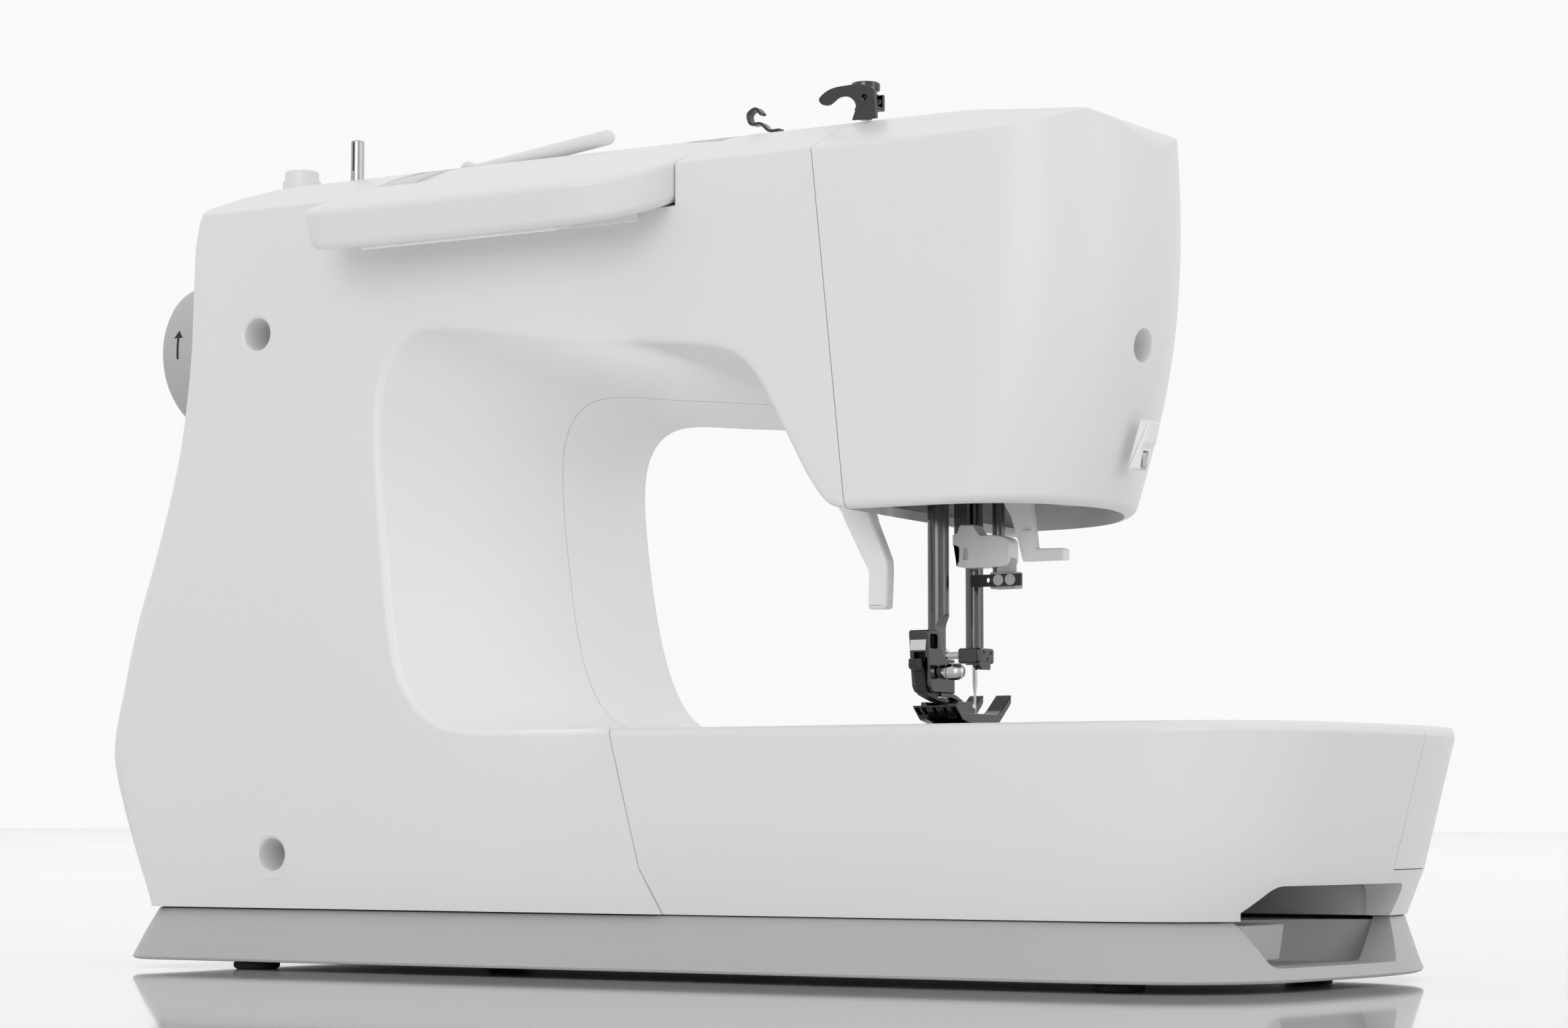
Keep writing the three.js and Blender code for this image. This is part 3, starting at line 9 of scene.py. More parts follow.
import bmesh
import bpy
import numpy as np
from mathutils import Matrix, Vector


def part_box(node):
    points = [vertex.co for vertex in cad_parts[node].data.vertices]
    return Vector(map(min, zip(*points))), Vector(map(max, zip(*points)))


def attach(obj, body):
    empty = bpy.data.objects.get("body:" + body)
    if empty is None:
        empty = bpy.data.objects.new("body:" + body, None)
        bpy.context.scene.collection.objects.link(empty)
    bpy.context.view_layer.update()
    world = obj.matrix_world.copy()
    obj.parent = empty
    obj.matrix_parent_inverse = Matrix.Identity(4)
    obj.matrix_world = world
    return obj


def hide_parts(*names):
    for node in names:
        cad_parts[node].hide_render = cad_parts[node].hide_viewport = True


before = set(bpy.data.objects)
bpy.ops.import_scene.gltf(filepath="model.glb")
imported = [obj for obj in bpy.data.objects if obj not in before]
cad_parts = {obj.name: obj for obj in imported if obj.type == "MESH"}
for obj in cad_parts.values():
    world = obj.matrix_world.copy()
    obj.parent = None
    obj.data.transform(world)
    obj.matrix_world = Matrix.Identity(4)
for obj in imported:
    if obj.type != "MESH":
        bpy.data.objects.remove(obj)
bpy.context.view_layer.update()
needle_low, needle_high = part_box("needle")
ORIGIN = ((needle_low.x + needle_high.x) / 2, (needle_low.y + needle_high.y) / 2, 0.0)

# ------------------------------------------------------------------ driving dimensions, as in the CAD
GAP = 0.3
WALL = 3.0
Y_REAR = 67.0
Y_FRONT = -52.0
Y_BED_FRONT = -112.0
Y_SPLIT = -13.0
EDGE_R = 9.0
FOOT_H = 3.0
BASE_TOP = 21.5
BASE_FLARE = 6.5
BODY_Z0 = BASE_TOP + GAP
CREASE_Z = 37.0
BED_Z = 83.0
HEAD_Z = 152.0
CREST_Z = 270.0
SHAFT_Z = 228.0
WHEEL_R = 28.2
WHEEL_X0 = 297.5
HANDLE_TILT = 18.0
HANDLE_X0 = 76.0
HANDLE_X1 = 212.5
HANDLE_Y = 100.0
HANDLE_PIVOT_Y = 34.0
HANDLE_PIVOT_Z = 274.0
HANDLE_TOP = 281.0
HANDLE_T = 13.5
ARM = {"x0": -116.0, "y0": -52.0, "y1": 38.0, "z0": 34.0}
SHARP = 32.0  # degrees: edges steeper than this stay crisp


def node_centre(node):
    """Centre of a CAD node in the drawing frame, in millimetres."""
    low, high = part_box(node)
    return [((low[i] + high[i]) / 2 - ORIGIN[i]) * 1000 for i in range(3)]


# ------------------------------------------------------------------ outlines
def curve(points, per=6, closed=False):
    """Smooth centripetal curve through 2D points, per samples for each stretch."""
    pts = [np.array(p, float) for p in points]
    if closed:
        pts = [pts[-1]] + pts + [pts[0], pts[1]]
    else:
        pts = [2 * pts[0] - pts[1]] + pts + [2 * pts[-1] - pts[-2]]
    out = []
    for p0, p1, p2, p3 in zip(pts, pts[1:], pts[2:], pts[3:]):
        t0 = 0.0
        t1 = t0 + np.linalg.norm(p1 - p0) ** 0.5
        t2 = t1 + np.linalg.norm(p2 - p1) ** 0.5
        t3 = t2 + np.linalg.norm(p3 - p2) ** 0.5
        for t in np.linspace(t1, t2, per, endpoint=False):
            a1 = (t1 - t) / (t1 - t0) * p0 + (t - t0) / (t1 - t0) * p1
            a2 = (t2 - t) / (t2 - t1) * p1 + (t - t1) / (t2 - t1) * p2
            a3 = (t3 - t) / (t3 - t2) * p2 + (t - t2) / (t3 - t2) * p3
            b1 = (t2 - t) / (t2 - t0) * a1 + (t - t0) / (t2 - t0) * a2
            b2 = (t3 - t) / (t3 - t1) * a2 + (t - t1) / (t3 - t1) * a3
            out.append((t2 - t) / (t2 - t1) * b1 + (t - t1) / (t2 - t1) * b2)
    if not closed:
        out.append(pts[-2])
    return [tuple(p) for p in out]


def area(outline):
    xs, ys = np.array(outline).T
    return 0.5 * float(np.sum(xs * np.roll(ys, -1) - np.roll(xs, -1) * ys))


def inset(outline, d):
    """Moves an outline inwards by d along its corner normals."""
    pts = np.array(outline, float)
    turn = 1.0 if area(outline) > 0 else -1.0
    before = pts - np.roll(pts, 1, axis=0)
    after = np.roll(pts, -1, axis=0) - pts
    before /= np.maximum(np.linalg.norm(before, axis=1), 1e-9)[:, None]
    after /= np.maximum(np.linalg.norm(after, axis=1), 1e-9)[:, None]
    n0 = np.stack([-before[:, 1], before[:, 0]], axis=1) * turn
    n1 = np.stack([-after[:, 1], after[:, 0]], axis=1) * turn
    normal = n0 + n1
    normal /= np.maximum(np.linalg.norm(normal, axis=1), 1e-9)[:, None]
    reach = 1 / np.maximum((normal * n0).sum(axis=1), 0.6)
    return [tuple(p) for p in pts + normal * (d * reach)[:, None]]


def fillet(points, radii, steps=6):
    """Polygon with rounded corners; radii is one radius or one for each corner."""
    pts = [np.array(p, float) for p in points]
    n = len(pts)
    radii = radii if isinstance(radii, (list, tuple)) else [radii] * n
    out = []
    for i, p in enumerate(pts):
        a, b = pts[i - 1] - p, pts[(i + 1) % n] - p
        la, lb = np.linalg.norm(a), np.linalg.norm(b)
        half = math.acos(max(-1, min(1, float(a @ b) / (la * lb)))) / 2
        back = min(radii[i] / math.tan(half), 0.49 * la, 0.49 * lb) if radii[i] > 0 else 0
        if back < 1e-6:
            out.append(tuple(p))
            continue
        start, end = p + a / la * back, p + b / lb * back
        for t in np.linspace(0, 1, steps + 1):
            out.append(tuple((1 - t) ** 2 * start + 2 * t * (1 - t) * p + t * t * end))
    return out


def rectangle(a0, a1, b0, b1):
    return [(a0, b0), (a1, b0), (a1, b1), (a0, b1)]


# ------------------------------------------------------------------ solids
def shape(verts, faces):
    mesh = bpy.data.meshes.new("shape")
    mesh.from_pydata([tuple(map(float, v)) for v in verts], [], faces)
    bm = bmesh.new()
    bm.from_mesh(mesh)
    bmesh.ops.recalc_face_normals(bm, faces=bm.faces)
    bm.to_mesh(mesh)
    bm.free()
    obj = bpy.data.objects.new("shape", mesh)
    bpy.context.scene.collection.objects.link(obj)
    return obj


def loft(rings, closed=False):
    """Skin through rings of equal length; the two end rings are capped unless the loft is closed."""
    n = len(rings[0])
    count = len(rings)
    verts = [p for ring in rings for p in ring]
    faces = []
    for k in range(count if closed else count - 1):
        a, b = k * n, ((k + 1) % count) * n
        for i in range(n):
            j = (i + 1) % n
            faces.append((a + i, a + j, b + j, b + i))
    if not closed:
        faces.append(tuple(reversed(range(n))))
        faces.append(tuple(range((count - 1) * n, count * n)))
    return shape(verts, faces)


def lay(outline, height, axis):
    """Puts a 2D outline at a height: (x, y) up z, (x, z) along y, or (y, z) along x."""
    if axis == "z":
        return [(a, b, height) for a, b in outline]
    if axis == "y":
        return [(a, height, b) for a, b in outline]
    return [(height, a, b) for a, b in outline]


def prism(outline, low, high, axis="z", r=0.0, r_low=None, steps=5):
    """Extruded outline, its end edges rounded by r, or by r_low at the low end."""
    r_low = r if r_low is None else r_low
    levels = []
    for radius, end, sign in ((r_low, low, 1), (r, high, -1)):
        if radius > 0:
            angles = [i / steps * math.pi / 2 for i in range(steps + 1)]
            part = [(end + sign * radius * (1 - math.cos(a)), radius * (1 - math.sin(a))) for a in angles]
        else:
            part = [(end, 0.0)]
        levels += part if sign > 0 else part[::-1]
    return loft([lay(inset(outline, d) if d > 1e-6 else outline, h, axis) for h, d in levels])


def block(x0, x1, y0, y1, z0, z1, r=0.0, corner=None):
    """Box whose edges are rounded by r."""
    plan = rectangle(x0, x1, y0, y1)
    corner = r if corner is None else corner
    return prism(fillet(plan, corner, 5) if corner > 0 else plan, z0, z1, "z", r)


def lathe(profile, axis, x, y, z, segments=64):
    """Turned body: profile of (radius, height) from axis to axis, about an axis through (x, y, z)."""
    verts, faces, rows = [], [], []
    spots = {"x": lambda r, h, a: (x + h, y + r * math.cos(a), z + r * math.sin(a)),
             "y": lambda r, h, a: (x + r * math.cos(a), y + h, z + r * math.sin(a)),
             "z": lambda r, h, a: (x + r * math.cos(a), y + r * math.sin(a), z + h)}[axis]
    for r, h in profile:
        count = 1 if r < 1e-6 else segments
        rows.append(list(range(len(verts), len(verts) + count)))
        verts += [spots(r, h, 2 * math.pi * i / segments) for i in range(count)]
    for low, high in zip(rows, rows[1:]):
        for i in range(segments):
            j = (i + 1) % segments
            quad = (low[i % len(low)], low[j % len(low)], high[j % len(high)], high[i % len(high)])
            face = tuple(dict.fromkeys(quad))
            if len(face) > 2:
                faces.append(face)
    return shape(verts, faces)


def rod(r, low, high, axis, u, v, segments=48, chamfer=0.0):
    """Round bar from low to high along an axis; (u, v) places it in the other two directions."""
    c = chamfer
    profile = [(0, low), (r - c, low), (r, low + c), (r, high - c), (r - c, high), (0, high)]
    if c == 0:
        profile = [(0, low), (r, low), (r, high), (0, high)]
    place = {"x": (0, u, v), "y": (u, 0, v), "z": (u, v, 0)}[axis]
    return lathe(profile, axis, *place, segments)


def tube(points, width, height, per=8):
    """Flat strap with rounded edges along a smooth 3D route in a plane of constant y."""
    route = curve([(p[0], p[2]) for p in points], per)
    y = points[0][1]
    section = fillet(rectangle(-width / 2, width / 2, -height / 2, height / 2), min(width, height) * 0.45, 4)
    rings = []
    for i, p in enumerate(route):
        a, b = route[max(i - 1, 0)], route[min(i + 1, len(route) - 1)]
        d = np.array([b[0] - a[0], b[1] - a[1]])
        d /= np.linalg.norm(d)
        rings.append([(p[0] - d[1] * h, y + w, p[1] + d[0] * h) for w, h in section])
    return loft(rings)


def combine(base, tool, operation):
    modifier = base.modifiers.new("combine", "BOOLEAN")
    modifier.solver = "MANIFOLD"
    modifier.operation = operation
    modifier.object = tool
    depsgraph = bpy.context.evaluated_depsgraph_get()
    depsgraph.update()
    mesh = bpy.data.meshes.new_from_object(base.evaluated_get(depsgraph))
    base.modifiers.clear()
    base.data = mesh
    bpy.data.objects.remove(tool)
    return base


def cut(base, *tools):
    for tool in tools:
        combine(base, tool, "DIFFERENCE")
    return base


def join(base, *tools):
    for tool in tools:
        combine(base, tool, "UNION")
    return base


def common(base, *tools):
    for tool in tools:
        combine(base, tool, "INTERSECT")
    return base


def twin(obj):
    other = obj.copy()
    other.data = obj.data.copy()
    bpy.context.scene.collection.objects.link(other)
    return other


def move(obj, turn=None, shift=(0, 0, 0)):
    """Turns a shape by (axis, degrees) about the origin, then shifts it."""
    if turn:
        axis, degrees = turn
        angle = math.radians(degrees)
        c, s = math.cos(angle), math.sin(angle)
        matrix = {"x": [[1, 0, 0], [0, c, -s], [0, s, c]],
                  "y": [[c, 0, s], [0, 1, 0], [-s, 0, c]],
                  "z": [[c, -s, 0], [s, c, 0], [0, 0, 1]]}[axis]
    else:
        matrix = np.eye(3)
    matrix = np.array(matrix)
    co = np.array([v.co for v in obj.data.vertices]) @ matrix.T + np.array(shift)
    obj.data.vertices.foreach_set("co", co.ravel())
    obj.data.update()
    return obj


def soften(obj, width, segments=2, angle=30):
    """Rounds the crisp edges of a finished shape."""
    bevel = obj.modifiers.new("soft_edges", "BEVEL")
    bevel.width = width
    bevel.segments = segments
    bevel.limit_method = "ANGLE"
    bevel.angle_limit = math.radians(angle)
    bevel.harden_normals = False
    return obj


def piece(obj, name, body, material, slot, *nodes, sharp=SHARP):
    """Places a finished shape in the row frame as a named piece that rides on a body."""
    depsgraph = bpy.context.evaluated_depsgraph_get()
    depsgraph.update()
    mesh = bpy.data.meshes.new_from_object(obj.evaluated_get(depsgraph))
    bpy.data.objects.remove(obj)
    co = np.array([v.co for v in mesh.vertices]) / 1000 + np.array(ORIGIN)
    mesh.vertices.foreach_set("co", co.ravel())
    mesh.materials.clear()
    mesh.materials.append(material)
    mesh.polygons.foreach_set("use_smooth", [True] * len(mesh.polygons))
    mesh.polygons.foreach_set("material_index", [0] * len(mesh.polygons))
    mesh.set_sharp_from_angle(angle=math.radians(sharp))
    mesh.update()
    made = bpy.data.objects.new(name, mesh)
    bpy.context.scene.collection.objects.link(made)
    weighted = made.modifiers.new("face_normals", "WEIGHTED_NORMAL")
    weighted.keep_sharp = True
    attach(made, body)
    if nodes:
        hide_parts(*nodes)
    return made


# ------------------------------------------------------------------ materials
def new_material(name, colour, roughness, metallic=0.0):
    material = bpy.data.materials.new(name)
    material.use_nodes = True
    tree = material.node_tree
    shader = tree.nodes["Principled BSDF"]
    shader.inputs["Base Color"].default_value = (*colour, 1)
    shader.inputs["Roughness"].default_value = roughness
    shader.inputs["Metallic"].default_value = metallic
    return material, tree, shader


def noise_ramp(tree, scale, low, high, detail=4.0, stretch=None):
    """Noise over the object's surface, mapped from low to high."""
    coords = tree.nodes.new("ShaderNodeTexCoord")
    noise = tree.nodes.new("ShaderNodeTexNoise")
    noise.inputs["Scale"].default_value = scale
    noise.inputs["Detail"].default_value = detail
    source = coords.outputs["Object"]
    if stretch:
        mapping = tree.nodes.new("ShaderNodeMapping")
        mapping.inputs["Scale"].default_value = stretch
        tree.links.new(source, mapping.inputs["Vector"])
        source = mapping.outputs["Vector"]
    tree.links.new(source, noise.inputs["Vector"])
    span = tree.nodes.new("ShaderNodeMapRange")
    span.inputs["To Min"].default_value = low
    span.inputs["To Max"].default_value = high
    tree.links.new(noise.outputs["Fac"], span.inputs["Value"])
    return span.outputs["Result"]


def tint(tree, shader, colour, scale, spread):
    """Slight drift of the colour's brightness over the surface."""
    mix = tree.nodes.new("ShaderNodeMix")
    mix.data_type = "RGBA"
    mix.inputs["A"].default_value = (*[c * (1 - spread) for c in colour], 1)
    mix.inputs["B"].default_value = (*[min(1, c * (1 + spread)) for c in colour], 1)
    tree.links.new(noise_ramp(tree, scale, 0, 1), mix.inputs["Factor"])
    tree.links.new(mix.outputs["Result"], shader.inputs["Base Color"])


def bump(tree, shader, height, distance, strength):
    node = tree.nodes.new("ShaderNodeBump")
    node.inputs["Distance"].default_value = distance
    node.inputs["Strength"].default_value = strength
    tree.links.new(height, node.inputs["Height"])
    tree.links.new(node.outputs["Normal"], shader.inputs["Normal"])


def moulded(name, colour, roughness=0.4, grain=1400.0, depth=0.00002, spread=0.012):
    """Injection-moulded plastic: fine spark-eroded grain and a slightly uneven gloss."""
    material, tree, shader = new_material(name, colour, roughness)
    tint(tree, shader, colour, 9.0, spread)
    tree.links.new(noise_ramp(tree, 60, roughness - 0.04, roughness + 0.04), shader.inputs["Roughness"])
    bump(tree, shader, noise_ramp(tree, grain, 0, 1, 2.0), depth, 0.35)
    shader.inputs["Specular IOR Level"].default_value = 0.5
    return material


def metal(name, colour, roughness, brushed=None, depth=0.000015):
    """Metal with an uneven polish; brushed stretches its scratches along the axis with the small number."""
    material, tree, shader = new_material(name, colour, roughness, 1.0)
    tint(tree, shader, colour, 40.0, 0.05)
    gloss = noise_ramp(tree, 180, max(0.02, roughness * 0.6), roughness * 1.5, 6.0, brushed)
    tree.links.new(gloss, shader.inputs["Roughness"])
    bump(tree, shader, noise_ramp(tree, 900, 0, 1, 3.0, brushed), depth, 0.3)
    return material


def milky(name, colour, roughness=0.18):
    """Milky translucent plastic."""
    material = moulded(name, colour, roughness, 800.0, 0.00001)
    shader = material.node_tree.nodes["Principled BSDF"]
    shader.inputs["Subsurface Weight"].default_value = 0.6
    shader.inputs["Subsurface Radius"].default_value = (0.006, 0.006, 0.006)
    shader.inputs["Subsurface Scale"].default_value = 1.0
    shader.inputs["Coat Weight"].default_value = 0.4
    shader.inputs["Coat Roughness"].default_value = 0.08
    return material


WHITE = moulded("white_shell", (0.83, 0.83, 0.825), 0.36)
BRIGHT = moulded("white_insert", (0.92, 0.92, 0.915), 0.22, depth=0.000008)
GREY = moulded("grey_plastic", (0.5, 0.505, 0.51), 0.42, 1100.0, 0.00003, 0.03)
BLACK = moulded("black_plastic", (0.018, 0.018, 0.019), 0.38, 1100.0, 0.00003, 0.1)
RUBBER = moulded("rubber", (0.02, 0.02, 0.021), 0.75, 700.0, 0.00006, 0.15)
MILKY = milky("milky_plastic", (0.88, 0.89, 0.89))
CHROME = metal("chrome", (0.62, 0.63, 0.64), 0.07)
# Chrome whose colour is darkened far below real chrome to paint in reflections of dark surroundings: painted
# dark reflection.
CHROME_WITH_PAINTED_REFLECTION = metal("chrome_with_painted_reflection", (0.09, 0.09, 0.095), 0.1)
# Bar steel whose colour is darkened to paint in reflections of dark surroundings: painted dark reflection.
BAR_STEEL_WITH_PAINTED_REFLECTION = metal("bar_steel_with_painted_reflection", (0.13, 0.13, 0.135), 0.16, (1, 1, 0.04))
STEEL = metal("steel", (0.5, 0.51, 0.52), 0.26, (0.06, 1, 1))
CAST = metal("cast_alloy", (0.5, 0.51, 0.52), 0.5, None, 0.0001)
SATIN = metal("satin_plate", (0.78, 0.79, 0.79), 0.35)
ENAMEL = moulded("black_enamel", (0.03, 0.031, 0.034), 0.3, 300.0, 0.00002, 0.1)
LENS = milky("lamp_lens", (0.9, 0.89, 0.82), 0.12)
INK = moulded("black_ink", (0.012, 0.012, 0.012), 0.5)

# ------------------------------------------------------------------ covers
END_CURVE = curve(
    [(302, 6), (305.2, 22), (312.4, 40), (319.2, 58), (323.6, 74), (323.2, 84), (320.2, 97), (313.9, 122),
     (302.7, 155), (294.2, 186), (289.8, 218), (288.8, 246), (287.8, 262), (284.8, 272), (279, 280),
     (269, 286),
     (256, 289.5), (235, 300)], 6)
THROAT_REAR = curve(
    [(10, 152), (17, 154), (24, 162), (31, 174), (38, 186.5), (44, 196.5), (50, 203), (58, 206.8),
     (100, 212.2),
     (140, 217.3), (172, 221.4), (184, 221), (192, 216.5), (197.5, 208), (200, 195), (199.5, 175), (197, 148),
     (194, 122), (190, 104), (182, 92), (172, 85.5), (158, BED_Z)], 6)
THROAT_FRONT = curve(
    [(10, 150), (17, 151), (23, 156), (30, 164), (37, 173), (43, 180), (50, 185), (58, 188), (90, 191),
     (120, 193.5), (146, 195.5), (155, 194), (161, 190), (165, 183), (166.5, 172), (165.5, 156), (163, 138),
     (159.5, 120), (154, 103), (147.5, 92), (140, 86), (130, BED_Z)], 6)
ROOF = [(Y_REAR + 0.2, CREST_Z - 2.5), (Y_REAR + 0.1, CREST_Z - 1), (Y_REAR - 0.4, CREST_Z + 0.1)] + curve(
    [(Y_REAR - 1.4, CREST_Z + 0.6), (56, 274.8), (43, 280), (30, 284.4), (16, 287.4), (2, 288.5),
     (-12, 287.6),
     (-26, 284.6), (-38, 279.6), (-46, 274.5), (-51, 268), (Y_FRONT - 0.2, 260)], 5)


THROAT_RIM = 2.4  # radius of the rim of the throat


def body_outline():
    """Outline of the column, arm and bed from behind, before the throat is taken out."""
    return [(40, 6)] + END_CURVE + [(-40, 300), (-40, 118), (40, 118)]


def throat_plan(y):
    """Outline of the throat at a depth: wider at the rear than at the front."""
    t = (Y_REAR - y) / (Y_REAR - Y_FRONT)
    side = [(a[0] + (b[0] - a[0]) * t, a[1] + (b[1] - a[1]) * t) for a, b in zip(THROAT_REAR, THROAT_FRONT)]
    return [(-90, HEAD_Z - 2 * t)] + side + [(-90, BED_Z)]


def throat_tool(grow):
    """The empty space of the throat, flaring at both faces where its rim is rounded."""
    flare = [(r * THROAT_RIM / 6, THROAT_RIM * (1 - math.sqrt(1 - (1 - r / 6) ** 2))) for r in range(7)]
    rings = [(Y_REAR + 6, THROAT_RIM)] + [(Y_REAR - d, g) for d, g in flare]
    rings += [(Y_FRONT + d, g) for d, g in reversed(flare)] + [(Y_FRONT - 6, THROAT_RIM)]
    return loft([lay(inset(throat_plan(y), -grow - g), y, "y") for y, g in rings])


def body_core(wall):
    """Column, arm and bed between the rear and the front face, with rounded edges."""
    r = EDGE_R if wall == 0 else 0.5
    steps = 8 if wall == 0 else 1
    rear = []
    for i in range(steps + 1):
        a = i / steps * math.pi / 2
        rear.append((Y_REAR - wall - r * (1 - math.cos(a)), wall + r * (1 - math.sin(a))))
    front = [(Y_REAR + Y_FRONT - y, d) for y, d in reversed(rear)]
    core = loft([lay(inset(body_outline(), max(d, 0.01)), y, "y") for y, d in rear + front])
    return cut(core, throat_tool(wall))


def roof_envelope(wall):
    roof = [(max(min(y, Y_REAR - wall), Y_FRONT + wall), z - wall * 1.05) for y, z in ROOF]
    floor = BODY_Z0 if wall == 0 else 0
    return prism([(-200, floor), (Y_REAR + 3 - wall, floor)] + roof + [(-200, 260 - wall)], -200, 400, "x")


TAPER = 2.6  # how far the covers draw in between the crease and the base
CREASE_LINE = curve([(-200, CREASE_Z), (150, CREASE_Z), (214, 37.7), (240, 40.5), (253, 42.9), (280, 49.2),
                     (303, 57.3), (314, 65.2), (319, 71.2), (330, 84)], 6)


def skirt():
    """What the rear cover loses below the crease, where it tapers in towards the base."""
    low = 10.0
    clear = Y_REAR + 30
    rings = []
    for x, z in CREASE_LINE:
        depth = TAPER * (z - low) / (z - BODY_Z0)
        rings.append([(x, Y_REAR, z), (x, Y_REAR - depth, low), (x, clear, low), (x, clear, z)])
    return loft(rings)


def bed_front(wall):
    """Bed in front of the column, flowing up into the column's front face."""
    z0 = BODY_Z0 if wall == 0 else 0
    rise = curve([(Y_FRONT + wall + 0.5, 124 - wall), (-53.5 + wall, 112 - wall),
                  (-57.5 + wall * 0.8, 101 - wall),
                  (-66, 92 - wall), (-80, 86 - wall), (-98, 83.2 - wall), (-106, 81.6 - wall),
                  (-110.6 + wall, 77.6 - wall), (Y_BED_FRONT + wall, 69 - wall)], 6)
    side = [(-40, z0), (-40, 128 - wall), (Y_FRONT + wall + 0.5, 128 - wall)] + rise
    side += [(Y_BED_FRONT + wall, CREASE_Z), (Y_BED_FRONT + 3.6 + wall, z0)]
    corner = [(40, -30), (40, Y_BED_FRONT + wall)]
    for a in np.linspace(-math.pi / 2, 0, 19):
        corner.append((294 + (32 - wall) * math.cos(a), -80 + (32 - wall) * math.sin(a)))
    corner.append((326 - wall, -30))
    bed = common(prism(side, 40, 345, "x"), prism(inset(body_outline(), wall + 0.02), -130, -30, "y"),
                 prism(corner, -5, 160))
    return cut(bed, block(40, 178 + wall, -140, Y_FRONT + wall + 0.6, BED_Z - wall, 160), throat_tool(wall))


SEAM = [(81.5, 0), (82, 21.5), (89.5, CREASE_Z), (102, BED_Z), (166, 320)]


def half_space(sign, shift, far=420):
    """Everything on one side of the leaning seam between the body and the accessory box."""
    end = far if sign > 0 else -260
    return prism([(end, 320), (end, 0)] + [(x + shift, z) for x, z in SEAM], -160, 160, "y")


FACE_SEAM = [(-5, 0), (10, 150)] + curve([(22.5, 268), (24.2, 275), (28, 281.5), (32.6, 286.5), (36, 292)], 5)
FACE_SEAM += [(37, 320)]


def beside_face(side):
    """Everything on one side of the seam between the face cover and the other covers."""
    line = [(x + side * GAP / 2, z) for x, z in FACE_SEAM]
    return prism([(side * 400, 320), (side * 400, 0)] + line, -160, 160, "y")


def handle_outline(d):
    """Plan of the handle, drawn in by d."""
    corners = rectangle(HANDLE_X0 + d, HANDLE_X1 - d, d - 7, HANDLE_REACH - d)
    return fillet(corners, [max(r - d, 0.5) for r in (3, 3, 15, 27)], 12)


HANDLE_REACH = (HANDLE_Y - HANDLE_PIVOT_Y) / math.cos(math.radians(HANDLE_TILT))


def place_handle(obj):
    return move(obj, ("x", -HANDLE_TILT), (0, HANDLE_PIVOT_Y, HANDLE_TOP))


ARMS = [(HANDLE_X0, HANDLE_X0 + 18), (HANDLE_X1 - 18, HANDLE_X1)]


def arm_pockets(grow, grow_well):
    """Pockets of the two handle arms in the roof, with the round wells of their pivots."""
    tools = []
    for x0, x1 in ARMS:
        tools.append(place_handle(block(x0 - grow, x1 + grow, -9 - grow, 60, -HANDLE_T - grow, 40)))
        tools.append(rod(12 + grow_well, x0 - 0.5 - grow_well, x1 + 0.5 + grow_well, "x",
                         HANDLE_PIVOT_Y, HANDLE_PIVOT_Z, 64))
    return tools


PIN = {"x": 200.0, "y": 12.0, "z": 286.4, "r": 2.7, "length": 62.0, "tilt": 6.8}
WINDER = (255.0, 10.0)
STOPPER = (283.0, 8.0, 285.0)
WELLS = [(254.6, 225.0), (245.4, 40.5)]
INLET = (14, 44, 44, 66)
SWITCH = (-18, -4, 44, 66)
DIALS = {"pattern_dial": (232, 172, 23, 14, 20, "pattern_knob"),
         "stitch_length_dial": (262, 222, 13, 11, 14, "length_knob"),
         "stitch_width_dial": (205, 236, 11, 10, 12, "width_knob")}
TENSION = (44, 246, 12)
REVERSE = (212, 118)


